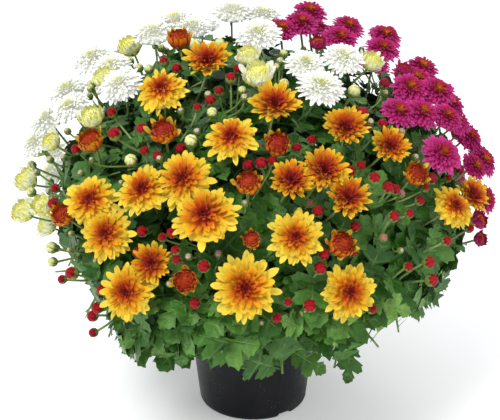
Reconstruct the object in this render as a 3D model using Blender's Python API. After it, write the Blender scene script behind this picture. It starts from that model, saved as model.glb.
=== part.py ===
"""Pot chrysanthemum: a black nursery pot of soil with three rooted plants, one white, one yellow
and one magenta, grown together into a single domed cushion of flowers.

Each plant is one piece: a stem out of the soil, branches, leaves, flower stalks and closed buds.
The open flowers are pieces of their own colour, and those that press into each other are joined.
Lengths are in metres, +Z is up, and the origin is the middle of the pot's underside. The flowers
that the photograph shows are placed where its 500 by 420 frame shows them, cast onto the dome.
"""

import math
import random

import bmesh
import bpy
import numpy as np
from mathutils import Vector
from mathutils.bvhtree import BVHTree

# Pot and soil
POT_HEIGHT = 0.110
POT_TOP_RADIUS = 0.0640
POT_BASE_RADIUS = 0.0520
POT_WALL = 0.0016
POT_FLOOR = 0.0025
RIM_DEPTH = 0.010
RIM_STEP = 0.0026
RIM_SLOPE = 0.0012
RIM_EDGE = 0.001
FOOT_RADIUS = 0.003
INNER_FOOT = 0.004
POT_SIDES = 28
NOTCH_BEARINGS = (-54.0, 126.0)
NOTCH_WIDTH = 0.015
NOTCH_HEIGHT = 0.004
NOTCH_DEPTH = 0.006
DRAIN_HOLES = 6
DRAIN_RING_RADIUS = 0.030
DRAIN_HOLE_RADIUS = 0.0045
SOIL_TOP = 0.097
SOIL_CROWN = 0.004
SOIL_FOOT = 0.005
STEM_HOLE_DEPTH = 0.040
STEM_HOLE_GAP = 0.00036
GAP = 0.0003

# Dome of flowers: an upper and a lower half with the same width
DOME_CENTRE = np.array([0.0, 0.0, 0.200])
DOME_RADIUS = 0.210
DOME_UPPER = 0.172
DOME_LOWER = 0.150
HEART = np.array([0.0, 0.0, 0.120])
LEAN = np.array([0.0, -0.6, 0.8])

# The camera of the photograph, which turns its pixels into rays
EYE = np.array([-0.003, -0.9615, 0.5561])
EYE_PITCH = math.radians(20.6)
FOCAL_PIXELS = 1100.0
FRAME_MIDDLE = np.array([250.0, 210.0])

# Plants: where each stands in the soil, and the compass bearing and height angle of each branch
CROWNS = {"white": (-0.024, 0.016), "yellow": (0.000, -0.027), "magenta": (0.026, 0.014)}
CROWN_RADIUS = 0.0055
CROWN_TOP = 0.122
CROWN_SIDES = 8
CROWN_TAPER = 0.6
BRANCHES = {
    "white": (
        (178, 8), (148, 0), (112, 4), (165, 38), (125, 36), (92, 58), (185, 62), (-62, 72)
    ),
    "yellow": (
        (-168, 4), (-138, 0), (-108, 2), (-80, 0), (-52, 2), (-24, 4), (-150, 34), (-95, 30),
        (-42, 30), (-110, 52)
    ),
    "magenta": ((6, 4), (36, 0), (72, 4), (2, 34), (38, 32), (55, 56)),
}
BRANCH_REACH = 0.76
BRANCH_RINGS = (0.0, 0.3, 0.6, 1.0)
BRANCH_RADII = (0.0024, 0.0015)
BRANCH_ROOT_DROP = 0.004
BRANCH_ROOT_STEP = 0.0016
BRANCH_RISE = 0.034
BRANCH_RUN = 0.016
BRANCH_END = 0.036
BRANCH_BOW = 0.012
BRANCH_SIDES = 4
STALK_RADIUS = 0.0013
STALK_SIDES = 3
STALK_ENDS = (0.30, 0.38)
STALK_LIFT = 0.02
CUP_RADIUS = 0.0034
CUP_HEIGHT = 0.0055

# Open flowers seen in the photograph, a tuple for each spray that presses together:
# the place in its frame in pixels, and the real diameter in millimetres
SPRAYS = {
    "yellow": (
        ((155, 194, 44), (184, 187, 48), (214, 212, 52)),
        ((94, 208, 44), (113, 226, 44)),
        ((131, 287, 46), (147, 262, 34)),
        ((246, 273, 53),),
        ((290, 219, 44),),
        ((331, 203, 36), (319, 167, 40), (303, 182, 36)),
        ((346, 288, 46),),
        ((339, 146, 38),),
        ((378, 148, 34),),
        ((282, 123, 40),),
        ((232, 152, 42),),
        ((448, 187, 42), (470, 200, 34)),
        ((164, 91, 44),),
        ((214, 62, 40),),
    ),
    "white": (
        ((312, 97, 42), (314, 73, 36)),
        ((341, 61, 38),),
        ((259, 38, 42),),
        ((230, 15, 40), (264, 8, 36)),
        ((199, 26, 36), (172, 24, 40), (153, 38, 42)),
        ((112, 62, 38), (90, 70, 42)),
        ((118, 90, 40),),
        ((60, 86, 40), (76, 116, 38)),
        ((41, 118, 42), (24, 141, 34)),
    ),
    "magenta": (
        ((283, 27, 32), (309, 33, 34), (328, 25, 34)),
        ((349, 45, 34), (362, 34, 32)),
        ((384, 42, 34), (394, 55, 34), (376, 60, 32)),
        ((420, 61, 34), (408, 73, 36)),
        ((406, 92, 36), (435, 92, 36)),
        ((414, 114, 32), (423, 124, 34), (437, 111, 32)),
        ((458, 114, 34), (452, 124, 30)),
        ((438, 147, 38),),
        ((467, 137, 36), (473, 151, 34), (491, 157, 30)),
        ((484, 190, 30),),
    ),
}
# Rings on the far side: height, first and last bearing, how many, diameter
FAR_RINGS = (
    ("flower", "white", ((0.215, 98, 166, 6, 42), (0.290, 99, 150, 4, 40), (0.340, 102, 142, 2, 38))),
    ("flower", "magenta", ((0.215, 14, 80, 6, 36), (0.290, 20, 76, 4, 36), (0.340, 32, 74, 2, 34))),
    ("opening", "white", ((0.165, 100, 170, 2, 24), (0.255, 96, 176, 2, 24))),
    ("opening", "magenta", ((0.260, 10, 82, 2, 20),)),
    ("bud", "white", ((0.145, 96, 172, 3, 10),)),
    ("bud", "magenta", ((0.145, 8, 82, 3, 10),)),
)
# Half-open flowers, and closed buds, in the same frame
OPENING = {
    "yellow": ((402, 162, 22), (298, 156, 22), (163, 134, 24), (91, 141, 24), (179, 39, 24),
               (220, 190, 22), (188, 280, 22), (71, 211, 22), (328, 223, 24), (260, 246, 16)),
    "white": ((260, 73, 28), (103, 77, 24), (100, 107, 24), (363, 60, 22), (243, 49, 22),
              (14, 197, 26), (21, 175, 26), (43, 205, 22), (120, 43, 26), (51, 142, 20)),
    "magenta": ((322, 46, 16), (389, 61, 16), (480, 239, 15), (479, 220, 18)),
}
BUDS = {
    "yellow": ((164, 60), (234, 74), (197, 106), (143, 129), (115, 134), (145, 149), (165, 158),
               (54, 190), (58, 207), (72, 273), (61, 279), (97, 308), (92, 316), (92, 333),
               (171, 249), (194, 301), (210, 274), (103, 290), (323, 235), (322, 300), (368, 305),
               (277, 318), (271, 157), (374, 178), (388, 187), (359, 116), (394, 216), (429, 262),
               (409, 266), (432, 280), (449, 233), (471, 225)),
    "white": ((144, 70), (196, 45), (220, 43), (24, 159), (30, 191), (51, 249), (51, 260),
              (136, 168), (188, 160), (212, 112), (281, 82), (354, 91), (89, 86)),
    "magenta": ((388, 84), (440, 172), (455, 172)),
}
BUD_RADIUS = 0.0052
BUD_SIDES = 4
BUD_LENGTH = 2.2
BUD_SEAT = -1.2
BUD_SINKS = (0.0, 0.008, -0.006, 0.016, 0.026)
STALK_SHARES = (0.50, 0.62, 0.74, 0.86, 0.94)

# Spacing of the flowers over the dome
PRESSED = 0.72
APART = 0.0028
SPACING_ROUNDS = 240
SPRAY_ROUNDS = 20
LEVELLING = 0.9
TILT = 0.24

# How many petals a ring has, one fewer on a small head, and the shape of a flower head in radii
PETALS = {"white": 8, "yellow": 8, "magenta": 7}
SMALL_HEAD = 0.0202
HEAD_PROFILE = {
    "seat": -0.22, "notch": (0.60, 0.0), "tip": (1.0, 0.04), "upper notch": (0.36, 0.22),
    "upper tip": (0.66, 0.32), "crown": 0.42,
}
PETAL_THICKNESS = 0.0008

# The shape of a half-open flower in radii, from its stalk up
CUP_PROFILE = {
    "seat": -0.75, "waist": (0.66, -0.35), "tip": (1.0, 0.50), "notch": (0.56, 0.15), "middle": 0.30
}

# Leaves: half of the lobed outline, as shares of the blade's length, from stalk to tip
LEAF_OUTLINE = ((-0.35, 0.022), (0.22, 0.36), (0.42, 0.15), (0.66, 0.30), (1.0, 0.0))
LEAF_FACES = ((0, 1, 7), (0, 7, 8), (1, 2, 6), (1, 6, 7), (2, 3, 4), (6, 4, 5), (2, 4, 6))
LEAF_THICKNESS = 0.0008
LEAF_DROOP = 0.22
LEAF_EDGE_DROOP = 0.10
LEAF_LONG = 0.058
LEAF_SHORT = 0.040
LEAF_HEIGHTS = (0.13, 0.27)
LEAF_VARIES = (0.88, 1.12)
LEAF_LEAN = (0.55, 0.90)
LEAF_UPWARD = 0.25
LEAF_SCALES = (1.0, 0.8)
STEEP = 0.93
GOLDEN_ANGLE = 137.5
SIDE_LEAN = 30.0
TURN_RANGE = 70.0
LEAF_SHARES = {
    "white": (0.50, 0.74, 0.97), "yellow": (0.38, 0.50, 0.62, 0.74, 0.97),
    "magenta": (0.50, 0.74, 0.97),
}
HIGH_BRANCH = 25
HIGH_LEAF_SHARES = (0.82, 0.97)
STALK_LEAF_SHARE = 0.55
STALK_LEAF_EVERY = 3
LEAF_TURNS = (0.0, 40.0, -40.0, 80.0, -80.0, 120.0, -120.0, 160.0)
CLEARANCE = 0.0005

# Faces of a join that meet at less than this angle are merged, in degrees
MERGE_ANGLE = 2.0

COLOURS = {
    "pot": (0.022, 0.022, 0.026), "soil": (0.060, 0.040, 0.028), "leaf": (0.060, 0.155, 0.045),
    "white": (0.86, 0.87, 0.80), "yellow": (0.90, 0.50, 0.03), "magenta": (0.46, 0.02, 0.18),
}


def unit(v):
    return v / np.linalg.norm(v)


def vary(index, salt):
    """A number from 0 to 1 that is always the same for the same index and salt."""
    return random.Random(index * 997 + salt).random()


def bearing(azimuth, height_angle):
    """The unit vector of a compass bearing and an angle above the horizon, in degrees."""
    a, e = math.radians(azimuth), math.radians(height_angle)
    return np.array([math.cos(a) * math.cos(e), math.sin(a) * math.cos(e), math.sin(e)])


def dome_level(p):
    """1 on the dome's surface, less inside it and more outside."""
    q = p - DOME_CENTRE
    height = np.where(q[..., 2] > 0, DOME_UPPER, DOME_LOWER)
    across = (q[..., 0] ** 2 + q[..., 1] ** 2) / DOME_RADIUS**2
    return np.sqrt(across + (q[..., 2] / height) ** 2)


def onto_dome(p):
    """The point moved along its line from the dome's centre onto the surface."""
    return DOME_CENTRE + (p - DOME_CENTRE) / dome_level(p)[..., None]


def dome_normal(p):
    q = p - DOME_CENTRE
    height = DOME_UPPER if q[2] > 0 else DOME_LOWER
    return unit(q / np.array([DOME_RADIUS**2, DOME_RADIUS**2, height**2]))


def from_photo(x, y):
    """Where the ray through a pixel first meets the dome, or passes nearest to it."""
    right, up = (np.array([x, y]) - FRAME_MIDDLE) * (1, -1) / FOCAL_PIXELS
    level = np.array([right, math.cos(EYE_PITCH), -math.sin(EYE_PITCH)])
    ray = level + up * np.array([0.0, math.sin(EYE_PITCH), math.cos(EYE_PITCH)])
    reach = np.linspace(0.5, 1.5, 1001)
    along = EYE + reach[:, None] * ray
    levels = dome_level(along)
    inside = np.nonzero(levels <= 1.0)[0]
    return onto_dome(along[inside[0] if len(inside) else levels.argmin()])


def at_height(azimuth, z):
    """The point of the dome at a compass bearing and a height."""
    up = z - DOME_CENTRE[2]
    share = math.sqrt(1 - (up / (DOME_UPPER if up > 0 else DOME_LOWER)) ** 2)
    return bearing(azimuth, 0) * DOME_RADIUS * share + np.array([0, 0, z])


def shoot_ends():
    """Every flower and bud as a dictionary, in its first place on the dome.

    A spray's number is shared by the flowers that press into each other."""
    ends, spray = [], 0
    for colour, sprays in SPRAYS.items():
        for members in sprays:
            spray += 1
            for x, y, size in members:
                ends.append({"kind": "flower", "colour": colour, "spray": spray,
                             "at": from_photo(x, y), "radius": size / 2000})
    for kind, colour, rings in FAR_RINGS:
        for z, first, last, count, size in rings:
            for i in range(count):
                spray += 1 - i % 2
                azimuth = first + (last - first) * i / (count - 1)
                ends.append({"kind": kind, "colour": colour,
                             "spray": spray if kind == "flower" else None,
                             "at": at_height(azimuth, z), "radius": size / 2000})
    for colour, places in OPENING.items():
        for x, y, size in places:
            ends.append({"kind": "opening", "colour": colour, "spray": None,
                         "at": from_photo(x, y), "radius": size / 2000})
    for colour, places in BUDS.items():
        for x, y in places:
            ends.append({"kind": "bud", "colour": colour, "spray": None,
                         "at": from_photo(x, y), "radius": BUD_RADIUS})
    return ends


def spread(ends):
    """Moves the ends over the dome until flowers of one spray press together and others are apart.

    Each round pushes every pair that is too close along the line between them, and pulls
    neighbours in a spray to their pressed distance. The larger of two moves less."""
    at = np.array([e["at"] for e in ends])
    radius = np.array([e["radius"] for e in ends])
    together = np.array([[a["spray"] == b["spray"] and a["spray"] is not None for b in ends]
                         for a in ends])
    wanted = radius[:, None] + radius[None, :] + APART
    wanted = np.where(together, PRESSED * (wanted - APART), wanted)
    light = radius[None, :] ** 2 / (radius[:, None] ** 2 + radius[None, :] ** 2)
    chain = np.zeros_like(together)
    for i in range(len(ends) - 1):
        chain[i, i + 1] = chain[i + 1, i] = together[i, i + 1]
    for _ in range(SPACING_ROUNDS):
        apart = at[:, None] - at[None, :]
        distance = np.linalg.norm(apart, axis=2)
        np.fill_diagonal(distance, 1.0)
        push = np.maximum(wanted - distance, 0.0)
        push -= np.where(chain, np.maximum(distance - wanted, 0.0), 0.0)
        at = at + 0.5 * ((push * light / distance)[:, :, None] * apart).sum(axis=1)
        at = onto_dome(at)
    for end, place in zip(ends, at):
        end["at"] = place
        end["facing"] = unit(dome_normal(place) + LEAN)
    for i, end in enumerate(ends):
        key = 1000 + end["spray"] if end["spray"] else i
        tilt = TILT * np.array([vary(key, 21) - 0.5, vary(key, 22) - 0.5, vary(key, 23) - 0.5])
        spray = [e for e in ends if e["spray"] == end["spray"]] if end["spray"] else [end]
        common = unit(unit(sum(e["facing"] for e in spray)) + tilt)
        middle = sum(e["at"] for e in spray) / len(spray)
        end["placed"] = end["at"] + LEVELLING * ((middle - end["at"]) @ common) * common
        end["turned"] = unit(end["facing"] + tilt + common)
    for end in ends:
        end["at"], end["facing"] = end["placed"], end["turned"]
    pairs = [(a, b) for i, a in enumerate(ends) for b in ends[i + 1:]
             if a["spray"] and a["spray"] == b["spray"]]
    for _ in range(SPRAY_ROUNDS):
        for a, b in pairs:
            apart = b["at"] - a["at"]
            distance = np.linalg.norm(apart)
            push = max(PRESSED * (a["radius"] + b["radius"]) - distance, 0.0) / distance
            a["at"], b["at"] = a["at"] - 0.5 * push * apart, b["at"] + 0.5 * push * apart


def bezier(points, t):
    """The point at share t of a curve with four control points."""
    s = 1 - t
    return (s**3 * points[0] + 3 * s * s * t * points[1]
            + 3 * s * t * t * points[2] + t**3 * points[3])


def branch_curve(colour, number):
    """Control points of a branch: up out of the crown, over the rim and out to its bearing."""
    azimuth, height_angle = BRANCHES[colour][number]
    way = bearing(azimuth, height_angle)
    steps = HEART + np.linspace(0.0, 0.4, 801)[:, None] * way
    reach = np.linalg.norm(steps[np.nonzero(dome_level(steps) <= 1.0)[0][-1]] - HEART)
    tip = HEART + BRANCH_REACH * reach * way
    x, y = CROWNS[colour]
    root = np.array([x, y, CROWN_TOP - BRANCH_ROOT_DROP - BRANCH_ROOT_STEP * number])
    flat = bearing(azimuth, 0)
    bow = BRANCH_BOW if height_angle < HIGH_BRANCH else -BRANCH_BOW
    return (root, root + np.array([0, 0, BRANCH_RISE]) + BRANCH_RUN * flat,
            tip - BRANCH_END * way + np.array([0, 0, bow]), tip)


def branch_point(colour, number, share):
    """The middle of the branch, as its straight segments run, at a share of its length."""
    curve = branch_curve(colour, number)
    rings = np.array([bezier(curve, t) for t in BRANCH_RINGS])
    return np.array([np.interp(share, BRANCH_RINGS, rings[:, axis]) for axis in range(3)])


def stalk_curve(start, end, facing):
    """Control points of a flower stalk: out of its branch, and up along the flower's own axis."""
    length = np.linalg.norm(end - start)
    leaving = unit(end - start + np.array([0, 0, STALK_LIFT]))
    return (start, start + STALK_ENDS[0] * length * leaving, end - STALK_ENDS[1] * length * facing, end)


def tube(centres, radii, sides):
    """A closed tube through the centres. A last radius of 0 closes it in a point."""
    centres = [np.asarray(c, float) for c in centres]
    whole = unit(centres[-1] - centres[0])
    side = np.eye(3)[np.abs(whole).argmin()]
    verts, faces = [], []
    for i, (centre, radius) in enumerate(zip(centres, radii)):
        along = unit(centres[min(i + 1, len(centres) - 1)] - centres[max(i - 1, 0)])
        u = unit(np.cross(side, along))
        v = np.cross(along, u)
        count = sides if radius else 1
        for k in range(count):
            angle = 2 * math.pi * k / sides
            verts.append(centre + radius * (math.cos(angle) * u + math.sin(angle) * v))
    last = len(centres) - 1 - (radii[-1] == 0)
    for i in range(last):
        for k in range(sides):
            a, b = i * sides + k, i * sides + (k + 1) % sides
            faces += [(a, b, b + sides), (a, b + sides, a + sides)]
    faces.append(tuple(reversed(range(sides))))
    top = last * sides
    if radii[-1] == 0:
        faces += [(top + k, top + (k + 1) % sides, top + sides) for k in range(sides)]
    else:
        faces.append(tuple(top + k for k in range(sides)))
    return verts, faces


def flower_axes(facing):
    """Two directions across a flower, square to its facing."""
    u = unit(np.cross(np.array([0.0, 0.0, 1.0]), facing) + np.array([1e-6, 0.0, 0.0]))
    return u, np.cross(facing, u)


def flower_head(end, petals, spin):
    """An open flower as one closed body: a cone seat, a ring of blunt petals and a ring above it."""
    r, centre, facing = end["radius"], end["at"], end["facing"]
    u, v = flower_axes(facing)

    def point(radius, height, step):
        angle = 2 * math.pi * step / petals + spin
        return centre + r * radius * (math.cos(angle) * u + math.sin(angle) * v) + r * height * facing

    shape = HEAD_PROFILE
    thick = PETAL_THICKNESS / r
    tip, tip_height = shape["tip"]
    verts = [point(0, shape["seat"], 0), point(0, shape["crown"], 0)]
    for i in range(petals):
        verts += [point(tip, tip_height - thick, i), point(tip, tip_height, i),
                  point(*shape["notch"], i + 0.5), point(*shape["upper tip"], i + 0.5),
                  point(*shape["upper notch"], i)]
    faces = []
    for i in range(petals):
        low, top, notch, upper_tip, upper_notch = range(2 + 5 * i, 7 + 5 * i)
        following, back = 2 + 5 * ((i + 1) % petals), 2 + 5 * ((i - 1) % petals)
        faces += [
            (0, notch, low), (0, following, notch), (low, notch, top),
            (notch, following, following + 1), (top, notch, upper_tip),
            (top, upper_tip, upper_notch), (top, upper_notch, back + 3), (top, back + 3, back + 2),
            (1, upper_notch, upper_tip), (1, upper_tip, following + 4),
        ]
    return verts, faces


def opening_flower(centres, radii, centre, facing, radius):
    """A stalk that ends in a half-open flower: a cup of four upright petals round a low middle."""
    waist_radius, waist_height = CUP_PROFILE["waist"]
    waist = centre + waist_height * radius * facing
    verts, faces = tube([*centres, waist], (*radii, waist_radius * radius), BUD_SIDES)
    faces.pop()
    low = len(verts) - BUD_SIDES
    arms = [unit(verts[low + k] - waist) for k in range(BUD_SIDES)]
    between = [unit(arms[k] + arms[(k + 1) % BUD_SIDES]) for k in range(BUD_SIDES)]
    for (out, up), ways in ((CUP_PROFILE["tip"], arms), (CUP_PROFILE["notch"], between)):
        verts += [centre + radius * (out * way + up * facing) for way in ways]
    verts.append(centre + CUP_PROFILE["middle"] * radius * facing)
    tips, notches, middle = low + BUD_SIDES, low + 2 * BUD_SIDES, low + 3 * BUD_SIDES
    for k in range(BUD_SIDES):
        n = (k + 1) % BUD_SIDES
        faces += [(low + k, low + n, notches + k), (low + k, notches + k, tips + k),
                  (low + n, tips + n, notches + k), (middle, tips + k, notches + k),
                  (middle, notches + k, tips + n)]
    return verts, faces


def leaf_blade(root, way, face, length, thickness, swell=1.0):
    """A lobed leaf with its stalk, arched down to the tip, flat-sided at its edge.

    way points from the stalk to the tip, and face is the way that its upper side looks."""
    across = unit(np.cross(face, way))
    face = np.cross(way, across)
    outline = list(LEAF_OUTLINE) + [(x, -y) for x, y in reversed(LEAF_OUTLINE[:-1])]
    start, end = LEAF_OUTLINE[0][0], LEAF_OUTLINE[-1][0]
    verts = []
    for side in (0.5, -0.5):
        for x, y in outline:
            share = (x - start) / (end - start)
            arch = -LEAF_DROOP * share**2 - LEAF_EDGE_DROOP * abs(y)
            at = root + length * ((x - start) * way + y * swell * across + arch * face)
            verts.append(at + side * thickness * face)
    count = len(outline)
    faces = [tuple(reversed(f)) for f in LEAF_FACES]
    faces += [tuple(i + count for i in f) for f in LEAF_FACES]
    for i in range(count):
        j = (i + 1) % count
        faces += [(i, j, j + count), (i, j + count, i + count)]
    return verts, faces


class Garden:
    """The pieces that are in place, each with its node, so that a new one can keep clear of them."""

    def __init__(self):
        self.pieces = []

    def tree(self, shape):
        verts, faces = shape
        points = np.array(verts)
        return BVHTree.FromPolygons([Vector(v) for v in verts], faces), points.min(0), points.max(0)

    def add(self, node, part, shape):
        self.pieces.append((node, part, *self.tree(shape)))

    def crossings(self, shape, counts):
        """How many faces of the pieces that counts(node, part) is true for cross the shape."""
        tree, low, high = self.tree(shape)
        return sum(len(tree.overlap(other))
                   for node, part, other, other_low, other_high in self.pieces
                   if (low < other_high).all() and (high > other_low).all() and counts(node, part))


def material(name, colour, roughness):
    made = bpy.data.materials.get(name) or bpy.data.materials.new(name)
    made.use_nodes = True
    surface = made.node_tree.nodes["Principled BSDF"]
    surface.inputs["Base Color"].default_value = (*colour, 1.0)
    surface.inputs["Roughness"].default_value = roughness
    surface.inputs["Metallic"].default_value = 0.0
    made.diffuse_color = (*colour, 1.0)
    return made


def mesh_object(name, shape, finish):
    """An object of the shape, with its faces made to point out."""
    mesh = bpy.data.meshes.new(name)
    mesh.from_pydata([tuple(v) for v in shape[0]], [], shape[1])
    work = bmesh.new()
    work.from_mesh(mesh)
    bmesh.ops.recalc_face_normals(work, faces=work.faces)
    work.to_mesh(mesh)
    work.free()
    mesh.materials.append(finish)
    made = bpy.data.objects.new(name, mesh)
    bpy.context.scene.collection.objects.link(made)
    return made


def boolean(body, others, operation):
    """The body joined with, or cut by, all the others at once, which are then removed.

    The solver is MANIFOLD, because EXACT takes many minutes on a plant and gives the same body.
    The nearly flat faces that a join splits are merged again."""
    group = bpy.data.collections.new("group")
    bpy.context.scene.collection.children.link(group)
    for other in others:
        for owner in list(other.users_collection):
            owner.objects.unlink(other)
        group.objects.link(other)
    step = body.modifiers.new("join", "BOOLEAN")
    step.operation = operation
    step.solver = "MANIFOLD"
    step.operand_type = "COLLECTION"
    step.collection = group
    graph = bpy.context.evaluated_depsgraph_get()
    made = bpy.data.meshes.new_from_object(body.evaluated_get(graph))
    body.modifiers.clear()
    body.data = made
    for other in list(group.objects):
        bpy.data.objects.remove(other)
    bpy.data.collections.remove(group)
    work = bmesh.new()
    work.from_mesh(made)
    limit = math.radians(MERGE_ANGLE)
    bmesh.ops.dissolve_limit(work, angle_limit=limit, verts=work.verts, edges=work.edges)
    work.to_mesh(made)
    work.free()
    return body


def turned(profile, sides):
    """A closed body turned from a profile of (radius, height) that starts and ends at radius 0."""
    verts, faces, rings = [], [], []
    for radius, height in profile:
        if radius == 0:
            rings.append([len(verts)] * sides)
            verts.append((0.0, 0.0, height))
            continue
        rings.append(list(range(len(verts), len(verts) + sides)))
        for k in range(sides):
            angle = 2 * math.pi * k / sides
            verts.append((radius * math.cos(angle), radius * math.sin(angle), height))
    for low, high in zip(rings, rings[1:]):
        for k in range(sides):
            n = (k + 1) % sides
            face = [low[k], low[n], high[n], high[k]]
            faces.append(tuple(dict.fromkeys(face)))
    return verts, faces


POT_SLOPE = (POT_TOP_RADIUS - POT_BASE_RADIUS) / POT_HEIGHT


def pot_outside(z):
    """The radius of the pot's outside at a height, below its rim."""
    return POT_BASE_RADIUS + POT_SLOPE * z


def pot_profile():
    """The pot's section from the middle of its underside, up outside, over the rim and down inside."""
    rim_low, rim_radius = POT_HEIGHT - RIM_DEPTH, pot_outside(POT_HEIGHT) + RIM_STEP
    inner_foot = POT_FLOOR + INNER_FOOT
    return (
        (0, 0), (POT_BASE_RADIUS - FOOT_RADIUS, 0), (pot_outside(FOOT_RADIUS), FOOT_RADIUS),
        (pot_outside(rim_low), rim_low), (pot_outside(rim_low) + RIM_STEP, rim_low + RIM_SLOPE),
        (rim_radius, POT_HEIGHT - RIM_EDGE), (rim_radius - RIM_EDGE, POT_HEIGHT),
        (pot_outside(POT_HEIGHT) - POT_WALL, POT_HEIGHT),
        (pot_outside(inner_foot) - POT_WALL, inner_foot),
        (POT_BASE_RADIUS - POT_WALL - INNER_FOOT, POT_FLOOR), (0, POT_FLOOR),
    )


def box(centre, size, azimuth):
    """A box with its sides turned to a compass bearing."""
    out, side = bearing(azimuth, 0), bearing(azimuth + 90, 0)
    corners = [(a, b, c) for a in (-0.5, 0.5) for b in (-0.5, 0.5) for c in (-0.5, 0.5)]
    verts = [np.asarray(centre) + size[0] * a * out + size[1] * b * side + np.array([0, 0, size[2] * c])
             for a, b, c in corners]
    faces = [(0, 1, 3, 2), (4, 6, 7, 5), (0, 4, 5, 1), (2, 3, 7, 6), (0, 2, 6, 4), (1, 5, 7, 3)]
    return verts, faces


def make_pot(garden):
    """The tapered pot with a stepped rim, two drainage notches in its foot and holes in its floor."""
    finish = material("pot", COLOURS["pot"], 0.55)
    shape = turned(pot_profile(), POT_SIDES)
    garden.add("pot", "pot", shape)
    cutters = []
    for azimuth in NOTCH_BEARINGS:
        centre = bearing(azimuth, 0) * POT_BASE_RADIUS
        size = (2 * NOTCH_DEPTH, NOTCH_WIDTH, 2 * NOTCH_HEIGHT)
        cutters.append(mesh_object("notch", box(centre, size, azimuth), finish))
    for k in range(DRAIN_HOLES):
        x, y, _ = bearing(k * 360 / DRAIN_HOLES, 0) * DRAIN_RING_RADIUS
        ends = (np.array([x, y, -POT_FLOOR]), np.array([x, y, 2 * POT_FLOOR]))
        cutters.append(mesh_object("drain", tube(ends, (DRAIN_HOLE_RADIUS,) * 2, 8), finish))
    return boolean(mesh_object("pot", shape, finish), cutters, "DIFFERENCE")


def make_soil(garden):
    """Potting soil up to just under the rim, with a plain hole for each plant's stem."""
    inner = POT_BASE_RADIUS - POT_WALL - 2 * GAP
    low = POT_FLOOR + GAP
    foot = low + SOIL_FOOT
    profile = (
        (0, low), (inner - SOIL_FOOT, low), (inner + POT_SLOPE * foot - GAP, foot),
        (inner + POT_SLOPE * SOIL_TOP - GAP, SOIL_TOP), (inner / 2, SOIL_TOP + 0.75 * SOIL_CROWN),
        (0, SOIL_TOP + SOIL_CROWN),
    )
    finish = material("soil", COLOURS["soil"], 0.95)
    shape = turned(profile, POT_SIDES)
    garden.add("soil", "soil", shape)
    cutters = []
    for x, y in CROWNS.values():
        ends = (np.array([x, y, SOIL_TOP - STEM_HOLE_DEPTH]), np.array([x, y, POT_HEIGHT]))
        radii = (CROWN_RADIUS + STEM_HOLE_GAP,) * 2
        cutters.append(mesh_object("stem hole", tube(ends, radii, CROWN_SIDES), finish))
    return boolean(mesh_object("soil", shape, finish), cutters, "DIFFERENCE")


def petal_turn(ends, index):
    """The turn of a flower's first petal: at the neighbour that it presses into, or any way."""
    end = ends[index]
    beside = ends[max(index - 1, 0):index + 2]
    near = [e for e in beside if e is not end and e["spray"] == end["spray"]]
    if not near:
        return 2 * math.pi * vary(index, 3)
    u, v = flower_axes(end["facing"])
    way = near[0]["at"] - end["at"]
    return math.atan2(way @ v, way @ u)


def make_flowers(garden, ends):
    """One object for each spray of open flowers, with the heads that press together joined."""
    for colour in SPRAYS:
        finish = material("petals_" + colour, COLOURS[colour], 0.6)
        sprays = sorted({e["spray"] for e in ends if e["colour"] == colour and e["spray"]})
        for number, spray in enumerate(sprays, 1):
            node, heads = f"flowers_{colour}_{number:02d}", []
            for index, end in enumerate(ends):
                if end["spray"] == spray:
                    petals = PETALS[colour] - (end["radius"] < SMALL_HEAD)
                    shape = flower_head(end, petals, petal_turn(ends, index))
                    garden.add(node, f"head {index}", shape)
                    heads.append(mesh_object(node, shape, finish))
            if len(heads) > 1:
                boolean(heads[0], heads[1:], "UNION")
            heads[0].name = node


def seat_of(end, sink):
    """Where a stalk ends: just under a flower's seat, or inside a bud or a half-open flower."""
    at = end["at"] - sink * end["facing"]
    if end["kind"] == "flower":
        return at + (HEAD_PROFILE["seat"] * end["radius"] - GAP) * end["facing"]
    share = CUP_PROFILE["seat"] if end["kind"] == "opening" else BUD_SEAT
    return at + share * end["radius"] * end["facing"]


def stalk_choices(end, index, sink):
    """The ways that a stalk may grow, as (branch, share along it, how far the bud is sunk)."""
    branches = range(len(BRANCHES[end["colour"]]))
    tips = [branch_point(end["colour"], b, 1.0) for b in branches]
    near = sorted(branches, key=lambda b: np.linalg.norm(tips[b] - end["at"]))[:3]
    return [(b, s + 0.06 * vary(index, 5), sink) for b in near for s in STALK_SHARES]


def stalk_shape(end, choice, extra=0.0):
    """A stalk from its branch up, with a cup under a flower, a closed bud or a half-open flower."""
    branch, share, sink = choice
    seat = seat_of(end, sink)
    curve = stalk_curve(branch_point(end["colour"], branch, share), seat, end["facing"])
    length = np.linalg.norm(seat - curve[0])
    neck = 1 - CUP_HEIGHT / length
    centres = [bezier(curve, t) for t in (0.0, neck)]
    r, f, w = STALK_RADIUS + extra, end["facing"], end["radius"] + extra
    if end["kind"] == "flower":
        return tube([*centres, seat], (r, r, CUP_RADIUS), STALK_SIDES)
    if end["kind"] == "bud":
        return tube([*centres, seat + w * f, seat + BUD_LENGTH * w * f], (r, r, w, 0), BUD_SIDES)
    return opening_flower(centres, (r, r), end["at"] - sink * f, f, w)


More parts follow.
